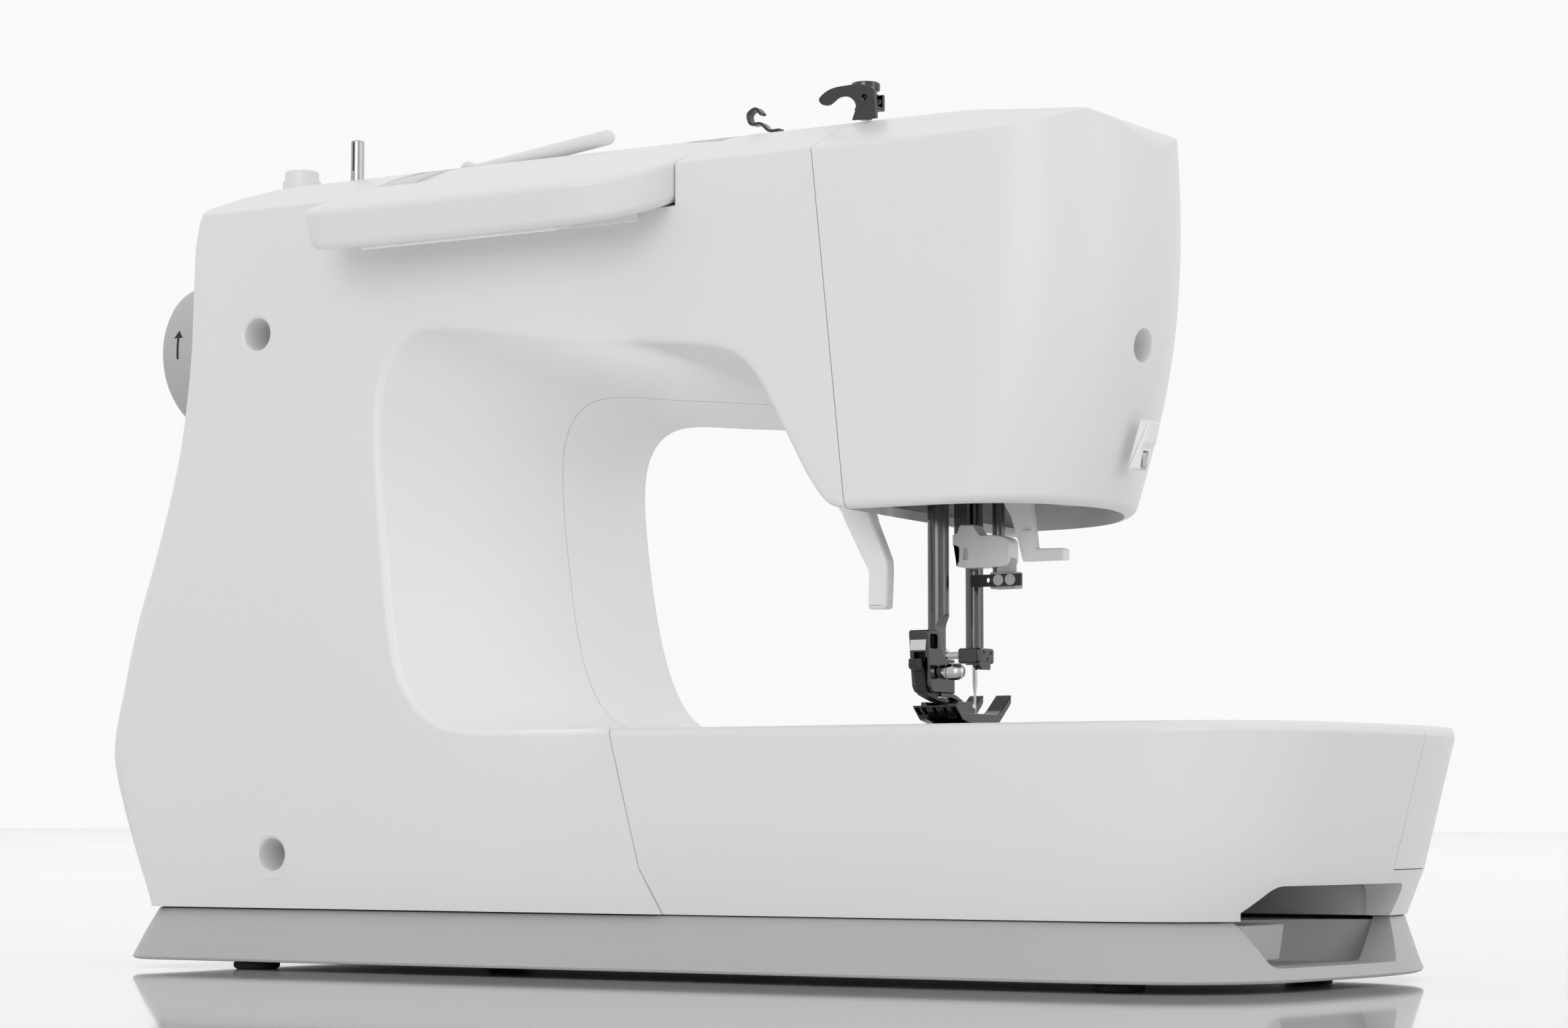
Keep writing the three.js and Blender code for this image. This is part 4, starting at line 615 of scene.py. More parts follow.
def build_covers():
    outer = join(common(body_core(0), roof_envelope(0)), bed_front(0))
    outer = cut(outer, skirt())
    inner = join(common(body_core(WALL), roof_envelope(WALL)), bed_front(WALL))
    clear_of_seam = join(half_space(1, 3), block(-60, 420, -160, 160, 110, 320))
    hollow = common(inner, clear_of_seam)
    hollow = cut(hollow, *arm_pockets(3, 2.5), block(142.5, 208.5, PIN["y"] - 7.5, PIN["y"] + 7.5, 279.9,
                                                     310),
                 rod(10, 281, 300, "z", STOPPER[0], STOPPER[1]))
    shell = cut(outer, hollow)
    for x, z in WELLS:
        bore = [(0, 48), (4.4, 48), (5, 58), (5.3, 65), (5.9, 66.4), (7, 67.1), (9, 67.4), (9, 80), (0, 80)]
        join(shell, rod(8.4, 45, 66, "y", x, z))
        cut(shell, lathe(bore, "y", x, 0, z, 64))
    cut(shell, *arm_pockets(0.5, 0))
    cut(shell, prism(fillet(rectangle(145, 206, PIN["y"] - 5, PIN["y"] + 5), 4), 282.4, 310, "z", 0, 1.5))
    cut(shell, block(60, 110, ARM["y0"] + 3, ARM["y1"] - 3, 38, 79))
    cut(shell, rod(8, 285, 340, "x", 0, SHAFT_Z), rod(7.6, STOPPER[2], 300, "z", STOPPER[0], STOPPER[1]))
    cut(shell, block(8, 44, 36, 44, 145, 192))
    cut(shell, prism(fillet(rectangle(WINDER[0] - 4, WINDER[0] + 10, WINDER[1] - 4, WINDER[1] + 4), 3.9),
                     280, 300))
    for y0, y1, z0, z1 in (INLET, SWITCH):
        cut(shell, block(300, 345, y0, y1, z0, z1))
    for x, z, *_ in DIALS.values():
        cut(shell, rod(3.4, -70, -40, "y", x, z))
    cut(shell, block(TENSION[0] - 3.2, TENSION[0] + 3.2, -70, -36, TENSION[1] - 15, TENSION[1] + 15))
    cut(shell, block(REVERSE[0] - 9, REVERSE[0] + 9, -75, -40, REVERSE[1] - 12, REVERSE[1] + 12))
    beyond_seam = join(half_space(1, 0), block(-40, 420, -160, 160, 110, 320))
    covers = common(shell, beside_face(1), beyond_seam)
    rear = common(twin(covers), block(-60, 420, Y_SPLIT + GAP / 2, 160, 0, 320))
    front = common(covers, block(-60, 420, -160, Y_SPLIT - GAP / 2, 0, 320))
    piece(rear, "rear_cover_shell", "machine", WHITE, "shell_white", "rear_cover")
    piece(front, "front_cover_shell", "machine", WHITE, "shell_white", "front_cover")


HEAD_END = curve([(140, -57.8), (152, -62.3), (171, -68.4), (190, -73.7), (211, -77.6), (240, -79.8),
                  (270, -79.2), (300, -76.6)], 8)


def head_ring(z, wall):
    """Plan of the head at a height: rounded at its free end."""
    e = float(np.interp(z, [p[0] for p in HEAD_END], [p[1] for p in HEAD_END])) + wall
    r, f = Y_REAR - wall, Y_FRONT + wall
    end = curve([(e + 50, r), (e + 38, r - 0.1), (e + 27, r - 1.7), (e + 17, r - 6), (e + 9, r - 13.5),
                 (e + 3.4, r - 24), (e + 0.7, r - 36), (e, r - 46), (e + 0.8, f + 63), (e + 3.6, f + 52),
                 (e + 8.6, f + 40), (e + 15.5, f + 28), (e + 24, f + 17), (e + 34, f + 8.5),
                 (e + 46, f + 2.6),
                 (e + 60, f)], 6)
    return [(x, y, z) for x, y in [(60, f), (60, r)] + end]


def head_loft(wall, bottom, edge=0.0):
    levels = []
    if edge:
        for i in range(6):
            a = i / 6 * math.pi / 2
            levels.append((bottom + edge * (1 - math.cos(a)), wall + edge * (1 - math.sin(a))))
    levels += [(z, wall) for z in np.linspace(bottom + edge, 300, 28)]
    return loft([head_ring(z, w) for z, w in levels])


def head_dome(wall):
    """The roof falls away towards the free end of the head, with a tight turn into the end."""
    line = curve([(8, 288.8), (-10, 285.6), (-28, 282.4), (-45, 279.6), (-58, 277.9), (-67, 276.7),
                  (-73, 274.9),
                  (-77, 272), (-79.4, 267.5), (-81, 254)], 8)
    line = [(x, z - wall) for x, z in line]
    return prism([(60, 100), (60, 320), (9, 320)] + line + [(-100, 200), (-100, 100)], -100, 100, "y")


def build_head():
    outer = common(head_loft(0, HEAD_Z, 3.0), roof_envelope(0), head_dome(0))
    inner = common(head_loft(2.6, 140), roof_envelope(2.6), head_dome(2.6))
    face = cut(outer, inner)
    well = (-76.6, 26, 203)
    tube_outer = move(rod(7.4, -14, 12, "x", 0, 0), ("z", -12), well)
    limit = common(head_loft(0.4, HEAD_Z, 3.0), roof_envelope(0.4), head_dome(0.4))
    join(face, common(tube_outer, limit))
    bore = [(0, -30), (8, -30), (8, -2.6), (6.8, -1.8), (5.6, -0.6), (5, 2), (4.6, 9.5), (0, 9.5)]
    cut(face, move(lathe(bore, "x", 0, 0, 0, 64), ("z", -12), well))
    cut(face, prism(fillet(rectangle(5, 11, 206, 300), [2.9, 2.9, 0, 0]), -60, -24, "y"))
    common(face, beside_face(-1))
    piece(face, "face_cover_shell", "machine", WHITE, "shell_white", "face_cover")


def bed_plan(x1, end_x, rear, front):
    rounded = curve([(end_x + 76, rear), (end_x + 62, rear - 0.2), (end_x + 42, rear - 2.2),
                     (end_x + 26, rear - 8),
                     (end_x + 14, rear - 19), (end_x + 7, rear - 34), (end_x + 3, rear - 60),
                     (end_x, rear - 95),
                     (end_x + 1, rear - 122), (end_x + 6, rear - 143), (end_x + 17, front + 17),
                     (end_x + 32, front + 6), (end_x + 50, front)], 7)
    return [(x1, front), (x1, rear)] + rounded


def box_levels(round_top):
    """Height, end, rear and front of the accessory box from its bottom to its top."""
    levels = [(BODY_Z0, -125.3, Y_REAR - 3.5, Y_BED_FRONT + 3.5), (CREASE_Z, -133.2, Y_REAR, Y_BED_FRONT)]
    levels += [(52, -137.2, Y_REAR, Y_BED_FRONT), (66, -140.9, Y_REAR, Y_BED_FRONT)]
    if not round_top:
        return levels + [(BED_Z + 4, -144.5, Y_REAR, Y_BED_FRONT)]
    r = 3.6
    for i in range(9):
        a = i / 8 * math.pi / 2
        d = r * 0.8 * (1 - math.cos(a))
        levels.append((BED_Z - r + r * math.sin(a), -144.5 + d, Y_REAR - d, Y_BED_FRONT + d))
    return levels


def box_loft(wall, round_top=False):
    rings = [[(x, y, z) for x, y in bed_plan(160, e + wall, r - wall, f + wall)]
             for z, e, r, f in box_levels(round_top)]
    if wall > 0 or not round_top:
        low = rings[0]
        rings.insert(0, [(x, y, 5) for x, y, z in low])
    return loft(rings)


NOTCH_Y0 = -52
NOTCH_Y1 = 45
DOOR_Z = (CREASE_Z, 84.0)


def build_box():
    outer = box_loft(0, True)
    box = cut(outer, block(ARM["x0"] - 0.6, 200, ARM["y0"] - 0.6, ARM["y1"] + 0.6, 0, 100))
    tray = common(box_loft(5.6), block(-140, 76, Y_BED_FRONT, ARM["y0"] - 4, 26, BED_Z - 3.5))
    recess = cut(box_loft(-3), box_loft(3.1))
    recess = common(recess, block(-160, 74.3, -130, -35.7, DOOR_Z[0] - GAP, DOOR_Z[1] + GAP))
    window = block(-100, 76, -130, ARM["y0"] - 10, 40, BED_Z - 6.2)
    notch = prism(fillet([(NOTCH_Y0 + 1, 5), (NOTCH_Y1 + 6, 5), (NOTCH_Y1 + 5, 20), (NOTCH_Y1 - 3, 23.5),
                          (NOTCH_Y1 - 12, 32.5), (NOTCH_Y0, 32.5)], [0, 0, 0, 6, 8, 5]), -160,
                          ARM["x0"] + 2, "x")
    behind_arm = common(box_loft(3.4), block(-104, 66, ARM["y1"] + 3.5, 80, 10, BED_Z - 3))
    cut(box, tray, recess, window, notch, behind_arm)
    common(box, half_space(-1, -GAP))
    piece(box, "accessory_box_shell", "box", WHITE, "shell_white", "accessory_box")
    door = common(cut(box_loft(0, True), box_loft(2.8)), block(-160, 74, -130, -36, *DOOR_Z))
    cut(door, prism(fillet(rectangle(-40, 0, 69, 74), 2.4), Y_BED_FRONT - 3, Y_BED_FRONT + 1.2, "y"))
    piece(door, "accessory_box_panel", "box_door", WHITE, "shell_white", "accessory_box_door")


def base_plan(grow):
    x1, r = 308.5 + grow, 14
    rear, front = Y_REAR - 4.8 + grow, Y_BED_FRONT + 4 - grow
    ring = bed_plan(x1 - r, -124 - grow * 1.35, rear, front)
    end = [(x1 - r + r * math.cos(a), front + r + r * math.sin(a)) for a in np.linspace(-math.pi / 2, 0, 13)]
    end += [(x1 - r + r * math.cos(a), rear - r + r * math.sin(a)) for a in np.linspace(0, math.pi / 2, 13)]
    return end + ring[2:]


def build_base():
    levels = [(FOOT_H, BASE_FLARE - 1.2), (FOOT_H + 0.3, BASE_FLARE - 0.4), (FOOT_H + 1, BASE_FLARE),
              (FOOT_H + 5, BASE_FLARE * 0.78), (FOOT_H + 10, BASE_FLARE * 0.5), (BASE_TOP - 1, 0.15),
              (BASE_TOP - 0.3, -0.2), (BASE_TOP, -0.8)]
    base = loft([[(x, y, z) for x, y in base_plan(g)] for z, g in levels])
    cut(base, prism(inset(base_plan(0), 6), FOOT_H + 4, BASE_TOP + 2))
    notch = fillet([(-42, 7.5), (36, 7.5), (40, 24), (40, 30), (-58, 30), (-56, 22)], [4, 4, 0, 0, 0, 0])
    cut(base, prism(notch, -160, -108, "x"))
    block_in_notch = prism(fillet([(6, 9), (40, 9), (44, 20.3), (2, 20.3)], [2, 2, 0, 0]), -112, -74, "x",
                           0.6)
    hollow_back = prism(curve([(-78, 60), (-80, 8), (-84, -14), (-95, -36), (-110, -50), (-124, -60)], 6)
                        + [(-124, -66), (-72, -66), (-72, 60)], 5, 20.4)
    join(base, common(join(block_in_notch, hollow_back), prism(inset(base_plan(0), 3), 0, 30)))
    for name in ("foot_rear_right", "foot_rear_left", "foot_front_right", "foot_front_left"):
        x, y, z = node_centre(name)
        cut(base, rod(5.3, 0, 6, "z", x, y))
        foot = lathe([(0, 0), (6.9, 0), (7.9, 0.5), (8.2, 1.1), (8.2, 2.2), (7.6, 2.7), (5, 2.7),
                      (5, 5.6), (0, 5.6)], "z", x, y, 0, 64)
        piece(foot, name + "_pad", "machine", RUBBER, "foot_rubber", name)
    piece(base, "base_shell", "machine", GREY, "base_grey", "base_plate")


def build_handle():
    # (height, draw-in): rounded underside, upright wall, then a rim that rises towards the opening
    under = 3.4  # radius of the edge of the underside
    section = [(-HANDLE_T + under * (1 - math.cos(a)), under * (1 - math.sin(a)))
               for a in np.linspace(0, math.pi / 2, 9)]
    section += [(-1.4, 0), (-0.7, 0.12), (0, 0.5), (0.5, 1.1), (0.85, 2), (1.2, 3.4), (1.8, 6.5), (2.5, 10.5),
                (3.1, 15), (3.4, 18.5), (3.5, 20.5)]
    slab = loft([[(x, y, h) for x, y in handle_outline(d)] for h, d in section])
    opening = fillet([(ARMS[0][1], -20), (ARMS[1][0], -20), (ARMS[1][0], HANDLE_REACH - 27),
                      (ARMS[0][1], HANDLE_REACH - 27)], [0, 0, 4, 22], 10)
    groove = block(HANDLE_X0 + 30, HANDLE_X1 - 24, HANDLE_REACH - 22, HANDLE_REACH - 4, -30, -HANDLE_T + 4)
    cut(slab, prism(opening, -30, 30), groove)
    piece(place_handle(soften(slab, 0.9, 3, 40)), "handle_shell", "carrying_handle", WHITE, "shell_white",
          "carry_handle")
    grip = block(HANDLE_X0 + 30 + GAP, HANDLE_X1 - 24 - GAP, HANDLE_REACH - 22 + GAP, HANDLE_REACH - 4 - GAP,
                 -HANDLE_T - 1.5, -HANDLE_T + 4 - GAP, 0.5)
    piece(place_handle(grip), "handle_grip_insert", "carrying_handle", BRIGHT, "grip_white", "handle_grip")
    # A strip in the brighter white on the rear face under the handle stands in for the light that shows
    # through the gap beneath the handle: painted light.
    gap_light_strip = block(90, 207, 66.4, 68.2, 251.4, 254.2, 0.3)
    piece(gap_light_strip, "handle_gap_painted_light_strip", "machine", BRIGHT, "shell_white")


build_covers()
build_head()
build_box()
build_base()
build_handle()


# ------------------------------------------------------------------ handwheel and front controls
def build_handwheel():
    profile = [(0, 4), (5.3, 4), (5.3, 0), (23.5, 0), (25.5, 0.6), (27, 3), (27.9, 8), (WHEEL_R, 14),
               (WHEEL_R, 30), (28, 33.4), (27.4, 35.7), (26.2, 37), (24.6, 37.5), (20, 37.5), (17, 37),
               (14, 35.6),
               (0, 35)]
    wheel = lathe(profile, "x", WHEEL_X0, 0, SHAFT_Z, 128)
    for i in range(12):
        a = i / 12 * 2 * math.pi
        cut(wheel, rod(2.2, 331.5, 340, "x", 22.5 * math.cos(a), SHAFT_Z + 22.5 * math.sin(a), 24))
    piece(wheel, "handwheel_knob", "main_drive", GREY, "base_grey", "handwheel")
    # Turning arrow printed on the rim: (along the rim, along the axle) in millimetres.
    outline = [(u, -0.5) for u in range(-6, 3)] + [(2, -1.3), (2, -2.1), (3.2, -1.2), (4.2, -0.5), (5, 0)]
    outline += [(u, -v) for u, v in reversed(outline[:-1])]
    centre_x = WHEEL_X0 + 28
    rings = []
    for r in (WHEEL_R - 0.3, WHEEL_R + 0.05):
        rings.append([(centre_x + v, r * math.cos(u / WHEEL_R + 0.1),
                       SHAFT_Z + r * math.sin(u / WHEEL_R + 0.1))
                      for u, v in outline])
    piece(loft(rings), "handwheel_arrow", "main_drive", INK, "black_plastic")


def build_dial(name, x, z, r, height, flutes, body):
    face = Y_FRONT - 0.2 - GAP
    profile = [(0, -height + 0.5), (r * 0.55, -height + 0.5), (r * 0.75, -height), (r - 1.8, -height),
               (r - 0.6, -height + 0.5), (r, -height + 1.8), (r, -0.4), (r - 0.5, 0), (3, 0), (3, 12),
               (0, 12)]
    knob = lathe(profile, "y", x, face, z, 128)
    for i in range(flutes):
        a = i / flutes * 2 * math.pi
        u, v = x + (r + 0.6) * math.cos(a), z + (r + 0.6) * math.sin(a)
        cut(knob, rod(1.5, face - height - 1, face - 2.5, "y", u, v, 24))
    cut(knob, block(x - 0.6, x + 0.6, face - height - 1, face - height + 0.6, z + r * 0.35, z + r * 0.85))
    piece(knob, name + "_knob", body, GREY, "base_grey", name)
    random.seed(7)
    for i in range(10):
        a = math.radians(90 - i * 30)
        u, v = x + (r + 4.2) * math.cos(a), z + (r + 4.2) * math.sin(a)
        tick = block(-0.25, 0.25, -0.1, 0.08, -1.1, 1.1)
        move(tick, ("y", 90 - math.degrees(a)), (u, Y_FRONT - 0.05, v))
        piece(tick, f"{name}_tick_{i}", "machine", INK, "black_plastic")


def build_controls():
    for name, (x, z, r, height, flutes, body) in DIALS.items():
        build_dial(name, x, z, r, height, flutes, body)
    x, z, r = TENSION
    wheel = lathe([(0, -2.8), (r - 0.4, -2.8), (r + 0.2, -2.5), (r + 0.4, -1.9), (r + 0.4, 1.9),
                   (r + 0.2, 2.5),
                   (r - 0.4, 2.8), (0, 2.8)], "x", x, -46.5, z, 96)
    for i in range(36):
        a = i / 36 * 2 * math.pi
        cut(wheel, block(x - 4, x + 4, -46.5 + (r + 0.35) * math.cos(a) - 0.25,
                         -46.5 + (r + 0.35) * math.cos(a) + 0.25, z + (r + 0.35) * math.sin(a) - 0.25,
                         z + (r + 0.35) * math.sin(a) + 0.25))
    piece(wheel, "tension_wheel", "tension_knob", GREY, "base_grey", "thread_tension_dial")
    x, z = REVERSE
    key = prism(fillet(rectangle(x - 8.4, x + 8.4, z - 6, z + 5), 2.5), -66, -57, "y", 0, 1.6)
    join(key, block(x - 6, x + 6, -58, -44, z - 5, z + 3))
    piece(key, "reverse_key_cap", "reverse_key", GREY, "base_grey", "reverse_lever")


# ------------------------------------------------------------------ roof fittings
def roof_at(y):
    pairs = sorted(ROOF[3:])
    return float(np.interp(y, [p[0] for p in pairs], [p[1] for p in pairs]))


def build_roof_fittings():
    r, length = PIN["r"], PIN["length"]
    profile = [(0, -length)]
    for i in range(1, 7):
        a = i / 6 * math.pi / 2
        profile.append((r * math.sin(a), -length + r * (1 - math.cos(a))))
    profile += [(r, -6), (r, 0), (0, 0)]
    pin = lathe(profile, "x", 0, 0, 0, 48)
    join(pin, rod(3.4, -4.2, 4.2, "y", 0, 0, 48, 0.4))
    move(pin, ("y", PIN["tilt"]), (PIN["x"], PIN["y"], PIN["z"]))
    piece(pin, "spool_pin_rod", "spool_holder", WHITE, "shell_white", "spool_pin")

    x, y = WINDER
    spindle = lathe([(0, 272), (2.5, 272), (2.5, 302.9), (2.3, 303.3), (1.9, 303.5), (0, 303.5)], "z", x,
                    y, 0, 48)
    cut(spindle, block(x - 0.35, x + 0.35, y - 10, y + 10, 292, 310))
    piece(spindle, "winder_spindle_pin", "winder_spindle", STEEL, "satin_steel", "bobbin_winder_spindle")

    x, y, z = STOPPER
    z += GAP
    cap = lathe([(0, z), (7.2, z), (7.2, z + 5.2), (7, z + 5.7), (6.5, z + 5.9), (6.4, z + 6.1),
                 (6.4, z + 8.6),
                 (6.2, z + 9.1), (5.7, z + 9.4), (0, z + 9.4)], "z", x, y, 0, 64)
    piece(cap, "winder_stopper_cap", "machine", WHITE, "shell_white", "bobbin_winder_stopper")

    base = roof_at(4) + GAP + 0.2
    hook = [(71, 8, base + 0.7), (75, 8, base + 0.9), (78.5, 8, base + 3.6), (82.6, 8, base + 4),
            (83.6, 8, base + 7.4), (80.6, 8, base + 9), (78.4, 8, base + 7)]
    piece(tube(hook, 3.8, 1.1), "thread_hook_wire", "machine", CHROME_WITH_PAINTED_REFLECTION, "bright_chrome",
          "thread_guide_hook",
          sharp=50)

    gy = 30
    gz = roof_at(gy) + GAP + 0.4
    horn = curve([(29, gz + 0.4), (27.6, gz + 5.4), (30, gz + 8.2), (34, gz + 8.6), (38.2, gz + 6.4),
                  (41, gz + 7),
                  (42, gz + 8.8), (38, gz + 11.6), (31, gz + 12.4), (24.5, gz + 12), (20.6, gz + 10),
                  (19.8, gz + 6),
                  (19.6, gz + 0.2)], 6)
    plate = prism(horn, gy - 0.7, gy + 0.7, "y", 0.3, None, 3)
    join(plate, block(20, 28.2, gy - 6, gy + 0.4, gz + 3.4, gz + 4.6, 0.4))
    join(plate, block(20, 28.2, gy - 6, gy - 4.8, gz + 3.6, gz + 9, 0.4))
    cut(plate, rod(1.1, gy - 3, gy + 3, "y", 24.2, gz + 7.6, 24))
    piece(plate, "thread_plate_horn", "machine", CHROME_WITH_PAINTED_REFLECTION, "bright_chrome", "thread_guide_plate")

    x, y = 30.5, 19
    z = roof_at(y) + GAP + 0.4
    stud = lathe([(0, z), (2.2, z), (2.2, z + 1), (1.5, z + 1.4), (1.5, z + 7.2), (4.4, z + 7.4),
                  (4.9, z + 7.9),
                  (4.4, z + 8.4), (1.8, z + 9), (4.4, z + 9.5), (4.9, z + 10), (4.9, z + 12), (4.5, z + 12.4),
                  (0, z + 12.4)], "z", x, y, 0, 64)
    piece(stud, "tension_stud", "machine", CHROME_WITH_PAINTED_REFLECTION, "bright_chrome", "pre_tension_disc")


build_handwheel()
build_controls()
build_roof_fittings()


# ------------------------------------------------------------------ needle and presser foot
PRESSER_Y = 24.3
BAR_R = 3.5
BAR_FLAT_X = -0.8
ANKLE = (-3.0, 4.2)
SLOT = (-1.7, 2.5)
FOOT_PIN = (13.9, 89.9)
SOLE_Z = BED_Z + GAP


def build_needle_bar():
    bar = lathe([(0, 104), (3, 104), (3, 255.6), (2.6, 256), (0, 256)], "z", 0, 0, 0, 64)
    piece(bar, "needle_bar_rod", "needle_slider", BAR_STEEL_WITH_PAINTED_REFLECTION, "satin_steel", "needle_bar")
    body = prism(fillet(rectangle(-4.4, 4.2, -5.9, 4.6), 1.3, 6), 104.4, 109.6, "z", 0.9)
    join(body, prism(fillet([(-3.4, 102.4), (2, 102.4), (4.2, 103.4), (4.2, 105.5), (-3.4, 105.5)], 0.6),
                     -4.2, -1.4, "x", 0.3))
    cut(body, rod(3.2, 100, 115, "z", 0, 0), rod(1.5, 3, 6, "x", 0, 107.4))
    for y, z in ((1.6, 108.2), (-3.2, 108.0), (-0.8, 106.0)):
        cut(body, lathe([(0, -0.6), (0.7, -0.6), (0.7, -0.35), (0.35, 0.2), (0, 0.2)], "x", -4.2, y, z, 24))
    piece(body, "needle_clamp_block", "needle_slider", CHROME_WITH_PAINTED_REFLECTION, "bright_chrome", "needle_clamp")
    screw = lathe([(0, 3.5), (1.25, 3.5), (1.25, 10.5), (2.4, 10.7), (2.8, 11.2), (2.8, 15.8),
                   (2.3, 16.4), (0, 16.5)],
                  "x", 0, 0, 107.4, 48)
    piece(screw, "needle_clamp_thumbscrew", "needle_slider", CHROME, "bright_chrome", "needle_clamp_screw")
    needle = lathe([(0, 77.5), (0.2, 78.6), (0.36, 80), (0.45, 82), (0.45, 94.6), (0.85, 97.5), (0.9, 103.7),
                    (0, 103.7)], "z", 0, 0, 0, 24)
    cut(needle, rod(0.14, -2, 2, "y", 0, 79.9, 12))
    piece(needle, "needle_shank", "needle_slider", CHROME, "bright_chrome", "needle")


def build_presser():
    bar = lathe([(0, 97.6), (3.2, 97.6), (BAR_R, 98), (BAR_R, 257.5), (3, 258), (0, 258)], "z", 0,
                PRESSER_Y, 0, 64)
    runout = [(BAR_FLAT_X, 90), (BAR_FLAT_X, 115)]
    runout += [(BAR_FLAT_X - 2.8 * t * t, 115 + 5 * t) for t in np.linspace(0.1, 1, 10)] + [(-8, 121),
                                                                                            (-8, 90)]
    cut(bar, prism(runout, PRESSER_Y - 5, PRESSER_Y + 5, "y"))
    piece(bar, "presser_bar_rod", "presser", BAR_STEEL_WITH_PAINTED_REFLECTION, "satin_steel", "presser_bar")

    side = fillet([(36.9, 114.3), (28.5, 114.3), (27.8, 109.8), (25.7, 106.4), (24.2, 105.1), (18.6, 105.1),
                   (18.6, 93.9), (33.1, 93.9), (34.8, 95.9), (36.1, 105.4)],
                  [1.2, 1.5, 6, 3, 1, 0.7, 0.5, 2, 2, 8], 6)
    ankle = prism(side, *ANKLE, "x", 0.55)
    jaw = fillet([(26, 94.4), (19.9, 94.4), (15.7, 93.4), (11.6, 91.9), (11.2, 89.6), (12.2, 89.4),
                  (12.6, 91.2),
                  (14.6, 91.7), (19, 92.6), (26, 92.8)], [0, 1, 1, 0.8, 0.4, 0.3, 0.6, 0.6, 0.6, 0], 4)
    join(ankle, prism(jaw, -2, 3.2, "x", 0.2))
    window = prism(fillet(rectangle(30.2, 35.2, 108.2, 113), 1.1), ANKLE[0] - 1, ANKLE[0] + 2, "x")
    cut(ankle, block(*SLOT, 31, 40, 90, 107.1), window,
        block(BAR_FLAT_X - 0.3, 8, PRESSER_Y - 3.9, PRESSER_Y + 3.9, 97.3, 120),
        rod(1.9, ANKLE[0] - 1, ANKLE[0] + 1.8, "x", 29.6, 100.7, 32))
    piece(soften(ankle, 0.16, 2, 40), "ankle_casting", "presser", CHROME_WITH_PAINTED_REFLECTION, "bright_chrome",
          "presser_ankle")
    plate = move(block(-2.3, 3.6, -0.04, 0.1, -2.9, 2.9, 0), ("x", 5), (0, 36.55, 110.5))
    piece(plate, "ankle_rear_face", "presser", SATIN, "satin_steel")

    screw = [(0, -12.6), (0.8, -12.55), (1.6, -12.2), (2.3, -11.4), (2.7, -10.3), (2.8, -9.2), (2.8, -7.4),
             (2.65, -7.0), (2.25, -6.85), (2.25, -6.65), (2.4, -6.5), (2.4, -4.2), (2.1, -3.4), (1.5, -3.3),
             (1.5, -1.5), (0, -1.5)]
    screw = lathe(screw, "x", 0, 29.6, 100.7, 64)
    cut(screw, block(-14, -11.8, 29.2, 30, 96, 106))
    piece(screw, "ankle_screw_head", "presser", CHROME, "bright_chrome", "ankle_thumb_screw")

    lever = fillet([(38.4, 104.8), (40.3, 104.8), (40.4, 101.9), (38.7, 101.1), (37, 100), (36.3, 98),
                    (35.6, 95.3),
                    (34.6, 93.2), (26.4, 91.2), (17.6, 90.2), (17.4, 91.2), (26, 92.4), (31.4, 93.5),
                    (33.2, 96),
                    (34.4, 100), (37, 102.4)], [0.6, 0.6, 0.8, 1, 2, 2, 2, 1.5, 3, 0.4, 0.4, 3, 1, 2, 3,
                                                1], 4)
    lever = prism(lever, SLOT[0] + 0.3, SLOT[1] - 0.3, "x", 0.25)
    for i in range(5):
        y, z = 37.5 - 0.42 * i, 100.6 - 1.15 * i
        cut(lever, block(-3, 4, y - 0.45, y + 3, z - 0.2, z + 0.2))
    piece(lever, "release_lever", "foot_release", BLACK, "black_plastic", "foot_release_lever")

    sole = curve([(28, 89.9), (26.4, 89.8), (25.2, 88.7), (23.6, 87.8), (21.5, 87.6), (12, 87.5), (4, 87.4),
                  (0.3, 87.5), (-2.4, 88.4), (-5.2, 90.4), (-8, 92.6), (-10, 94.1)], 5)
    sole += [(-10.6, 94.2), (-11, 93.6)]
    sole += curve([(-10.9, 92.7), (-8.6, 90.4), (-5.4, 87.8), (-2.4, 85.4), (0.2, 83.8), (2.4, SOLE_Z)], 5)
    sole += [(14, SOLE_Z), (23.5, SOLE_Z + 2), (27.7, 89.2)]
    foot = prism(sole, -8.5, 7.8, "x", 0.35)
    for x0, x1 in ((-7.2, -3.4), (4.6, 6.8)):
        ear = fillet([(12.4, 86), (24.4, 86), (24.4, 91.2), (12.4, 91.2)], [0, 0, 0.8, 1.2])
        join(foot, prism(ear, x0, x1, "x", 0.3))
    cut(foot, block(-2.6, 2.4, -30, 4, 80, 100), rod(2.5, 80, 95, "z", -0.1, 4, 32))
    for x0, x1 in ((5.2, 7), (1.8, 4.4), (-2.2, 0.8), (-6.6, -3.2)):
        cut(foot, move(block(x0, x1, -2, 2, -1.7, 1.6, 0), ("x", -40), (0, 27.4, 87.5)))
    toe_plan = fillet([(-8.6, -11.2), (-2.6, -11.2), (-2.6, 30), (-8.6, 30)], [3.4, 1.6, 0, 0], 8)
    toe_plan_2 = fillet([(2.4, -11.2), (7.9, -11.2), (7.9, 30), (2.4, 30)], [1.6, 3.2, 0, 0], 8)
    middle = block(-3, 3, 3, 30, 80, 100)
    limits = join(prism(toe_plan, 80, 100), prism(toe_plan_2, 80, 100), middle)
    common(foot, limits)
    pin = lathe([(0, -7.6), (0.8, -7.6), (1.1, -7.3), (1.1, 7), (0.8, 7.3), (0, 7.3)], "x", 0, *FOOT_PIN, 32)
    piece(pin, "foot_cross_pin", "foot", CHROME, "bright_chrome")
    piece(soften(foot, 0.12, 2, 40), "foot_sole", "foot", CHROME_WITH_PAINTED_REFLECTION, "bright_chrome", "presser_foot")


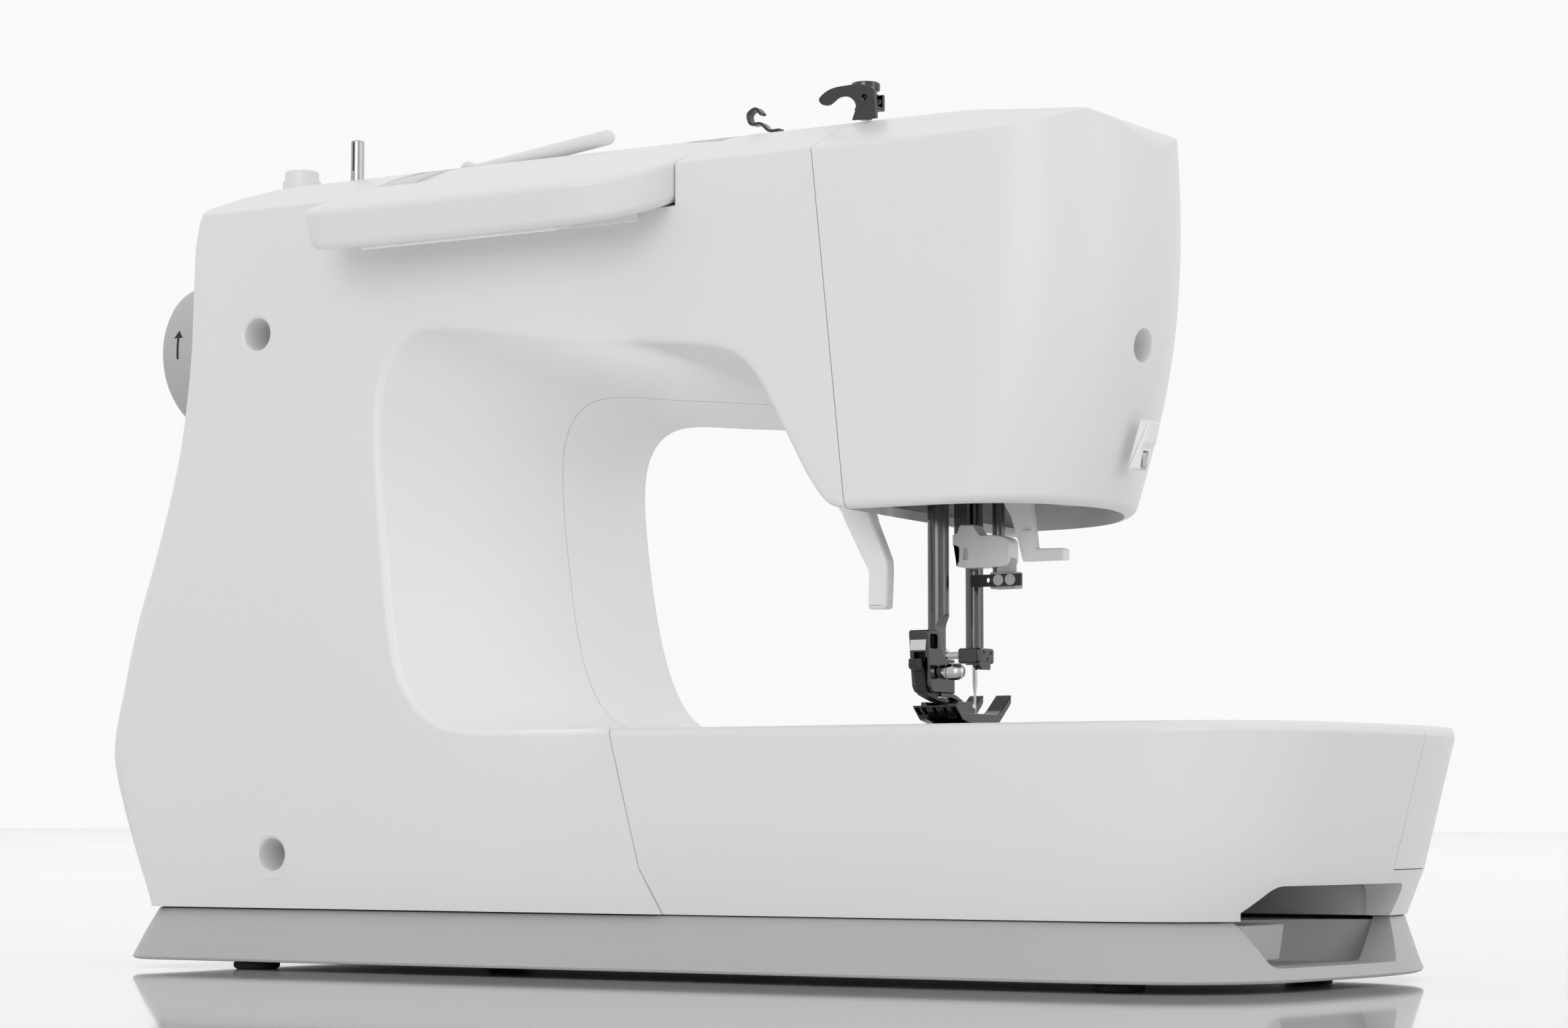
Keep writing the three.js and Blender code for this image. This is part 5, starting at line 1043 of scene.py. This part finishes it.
def build_levers():
    outline = fillet([(33, 174), (21, 174), (20, 164), (16.3, 156), (14.2, 149.5), (8.95, 137), (8.8, 133.2),
                      (9.4, 121), (16.2, 121), (15.9, 133.4), (24.4, 149), (26.2, 153), (32, 161)],
                     [2, 2, 4, 6, 8, 3, 3, 1.4, 1.4, 5, 8, 5, 4], 7)
    lever = prism(outline, 37, 43, "y", 1.3)
    for i in range(11):
        cut(lever, rod(0.3, 30, 50, "y", 8.62 + i * 0.035, 133 - i * 1.05, 12))
    piece(lever, "lifter_handle", "lifter", MILKY, "clear_plastic", "presser_lifter_lever")

    outline = fillet([(-15.5, 199), (-27, 199), (-28.6, 160), (-29.4, 155.4), (-31.3, 140.8), (-41.5, 140.6),
                      (-41.5, 136.7), (-26.3, 136.7), (-24.8, 142.7), (-22.1, 151.4), (-17, 160)],
                     [1, 1, 20, 10, 0.6, 0.8, 0.5, 1, 4, 8, 6], 7)
    lever = prism(outline, 12, 15.2, "y", 0.5)
    join(lever, block(-41.3, -33, 10.4, 15.2, 136.8, 140.5, 0.6))
    join(lever, block(-29.6, -26.6, 14.6, 16, 138, 147, 0.4))
    piece(lever, "buttonhole_arm", "buttonhole", BRIGHT, "shell_white", "buttonhole_lever")


def build_threader():
    outline = fillet([(-0.3, 150.1), (-5, 150), (-7.7, 146.4), (-14.2, 146.2), (-18.9, 145), (-18.9, 136),
                      (-14.2, 135.6), (-2.1, 135.7), (1.3, 136.3), (1.3, 138), (0.4, 138.1), (0.3, 142.4),
                      (2.5, 143.3), (2.5, 146.8), (0.8, 147.5)],
                     [0.8, 0.8, 0.8, 1, 5, 5, 1, 1, 0.4, 0.4, 0.2, 0.4, 0.5, 0.5, 0.8], 8)
    case = prism(outline, 3.8, 10.6, "y", 0.5)
    cut(case, block(-3.4, -1.4, 8.6, 12, 138.4, 142.4), rod(2.4, 130, 160, "z", -13.3, 7.2, 40))
    piece(soften(case, 0.15, 2, 40), "threader_case", "threader", BRIGHT, "shell_white", "needle_threader")
    hub = prism(fillet([(-20.8, 128.5), (-11.5, 128.5), (-11.5, 134), (-20.8, 134)], 0.5), 4.6, 10.3, "y",
                0.4)
    join(hub, prism(fillet([(-19, 133), (-14.4, 133), (-14.4, 135.6), (-19, 139)], 0.4), 5.4, 9.8, "y", 0.3))
    piece(hub, "threader_hub", "threader", GREY, "base_grey")
    piece(rod(2.1, 129, 182, "z", -13.3, 7.2, 48, 0.3), "threader_shaft", "threader", BAR_STEEL_WITH_PAINTED_REFLECTION,
          "satin_steel")
    piece(block(-2.5, 2.4, 7.6, 9.6, 147.2, 182, 0.3), "threader_guide_bar", "threader", BAR_STEEL_WITH_PAINTED_REFLECTION,
          "satin_steel")
    plate = prism(fillet(rectangle(-23.7, -5, 129.2, 133.2), 0.3), 10.4, 11.5, "y", 0.15)
    join(plate, block(-5.6, -4.6, 5.4, 11.4, 129.3, 133.1, 0.2))
    cut(plate, rod(0.85, 5, 20, "y", -11.3, 131.3, 24))
    piece(plate, "threader_bracket_plate", "threader", BLACK, "black_plastic", "threader_bracket")
    for i, x in enumerate((-15.4, -19.8)):
        rivet = lathe([(0, 11.4), (1.9, 11.4), (1.9, 11.8), (1.7, 12), (0, 12.05)], "y", x, 0, 131.3, 32)
        piece(rivet, f"threader_rivet_{i}", "threader", GREY, "base_grey")
    cutter = fillet([(-69.4, 164), (-74.4, 180), (-77.6, 179), (-76.2, 172.6), (-74.6, 171),
                     (-73.2, 164)], 0.5, 4)
    cutter = prism(cutter, 17, 25, "y", 0.5)
    cut(cutter, block(-76, -72.2, 19, 23, 160, 170))
    piece(cutter, "thread_cutter_case", "machine", BRIGHT, "shell_white", "thread_cutter")


build_needle_bar()
build_presser()
build_levers()
build_threader()


# ------------------------------------------------------------------ CAD nodes that stay, with their finish
KEPT = {
    "handle_grip": BRIGHT, "free_arm_cover": WHITE, "needle_plate": CHROME, "bobbin_cover_plate": MILKY,
    "inner_frame": CAST, "upper_shaft": STEEL, "lower_shaft": STEEL, "timing_belt": RUBBER,
    "motor_belt": RUBBER,
    "motor": ENAMEL, "motor_pulley": STEEL, "rotary_hook": STEEL, "bobbin_case": BLACK, "bobbin": MILKY,
    "feed_dog": STEEL, "needle_clamp_screw": CHROME, "take_up_lever": CHROME, "presser_bar": BAR_STEEL_WITH_PAINTED_REFLECTION,
    "presser_ankle": CHROME, "ankle_thumb_screw": CHROME, "foot_release_lever": BLACK, "presser_foot": CHROME,
    "presser_lifter_lever": MILKY, "needle_threader": WHITE, "threader_bracket": CHROME_WITH_PAINTED_REFLECTION,
    "buttonhole_lever": WHITE, "thread_cutter": WHITE, "thread_cutter_blade": STEEL, "work_lamp": LENS,
    "power_switch": BLACK, "switch_bezel": BLACK, "power_inlet": BLACK, "cover_screw_upper": STEEL,
    "cover_screw_lower": STEEL,
}
for node, material in KEPT.items():
    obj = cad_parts[node]
    for material_slot in obj.material_slots:
        material_slot.material = material

# ------------------------------------------------------------------ floor, light and camera
def stage_material():
    material, tree, shader = new_material("table_top", (0.76, 0.76, 0.76), 0.1)
    tree.links.new(noise_ramp(tree, 3, 0.02, 0.07), shader.inputs["Roughness"])
    return material


floor_mesh = bpy.data.meshes.new("table")
reach = 12.0  # metres from the middle to the floor's edge
floor_mesh.from_pydata([(-reach, -reach, 0), (reach, -reach, 0), (reach, reach, 0), (-reach, reach, 0)], [],
                       [(0, 1, 2, 3)])
floor_mesh.materials.append(stage_material())
floor = bpy.data.objects.new("table", floor_mesh)
bpy.context.scene.collection.objects.link(floor)


def area_light(name, place, target, size, power):
    data = bpy.data.lights.new(name, "AREA")
    data.shape = "RECTANGLE"
    data.size, data.size_y = size
    data.energy = power
    light = bpy.data.objects.new(name, data)
    light.location = place
    light.visible_camera = False
    light.rotation_euler = (Vector(target) - Vector(place)).to_track_quat("-Z", "Y").to_euler()
    bpy.context.scene.collection.objects.link(light)


area_light("right_softbox", (-1.9, -0.15, 0.55), (0, 0, 0.17), (0.9, 0.9), 2)
area_light("left_softbox", (-0.5, 2.2, 0.8), (-0.05, 0, 0.15), (1.2, 1.2), 10.5)
area_light("throat_fill", (0.0, 0.075, 0.145), (0.105, 0.042, 0.155), (0.05, 0.09), 0.022)

SKY_STRENGTH = 0.95
SKY_BRIGHT_SIDE = (0.1, -1.0, -0.3)  # the sky is brightest this way, behind the machine
SKY_DARKEST = 0.74  # share of the full brightness on the camera's side

world = bpy.data.worlds.new("studio")
world.use_nodes = True
background = world.node_tree.nodes["Background"]
background.inputs["Strength"].default_value = SKY_STRENGTH
studio = world.node_tree
direction = studio.nodes.new("ShaderNodeTexCoord")
facing = studio.nodes.new("ShaderNodeVectorMath")
facing.operation = "DOT_PRODUCT"
facing.inputs[1].default_value = SKY_BRIGHT_SIDE
span = studio.nodes.new("ShaderNodeMapRange")
span.inputs["From Min"].default_value = -0.8
span.inputs["From Max"].default_value = 0.3
span.inputs["To Min"].default_value = SKY_DARKEST
span.inputs["To Max"].default_value = 1.0
studio.links.new(direction.outputs["Generated"], facing.inputs[0])
studio.links.new(facing.outputs["Value"], span.inputs["Value"])
studio.links.new(span.outputs["Result"], background.inputs["Color"])
bpy.context.scene.world = world
bpy.context.scene.view_settings.view_transform = "Standard"

SENSOR = 36.0  # millimetres
LENS_LENGTH = 85.44  # millimetres
CAMERA_PLACE = (-0.69745, 1.09075, 0.05365)  # metres
CAMERA_RISE = 4.655  # degrees above the horizon
CAMERA_AZIMUTH = 212.0  # degrees

camera_data = bpy.data.cameras.new("camera")
camera_data.sensor_width = SENSOR
camera_data.lens = LENS_LENGTH
camera = bpy.data.objects.new("camera", camera_data)
camera.location = CAMERA_PLACE
camera.rotation_euler = (math.radians(90 + CAMERA_RISE), 0, math.radians(CAMERA_AZIMUTH))
bpy.context.scene.collection.objects.link(camera)
bpy.context.scene.camera = camera
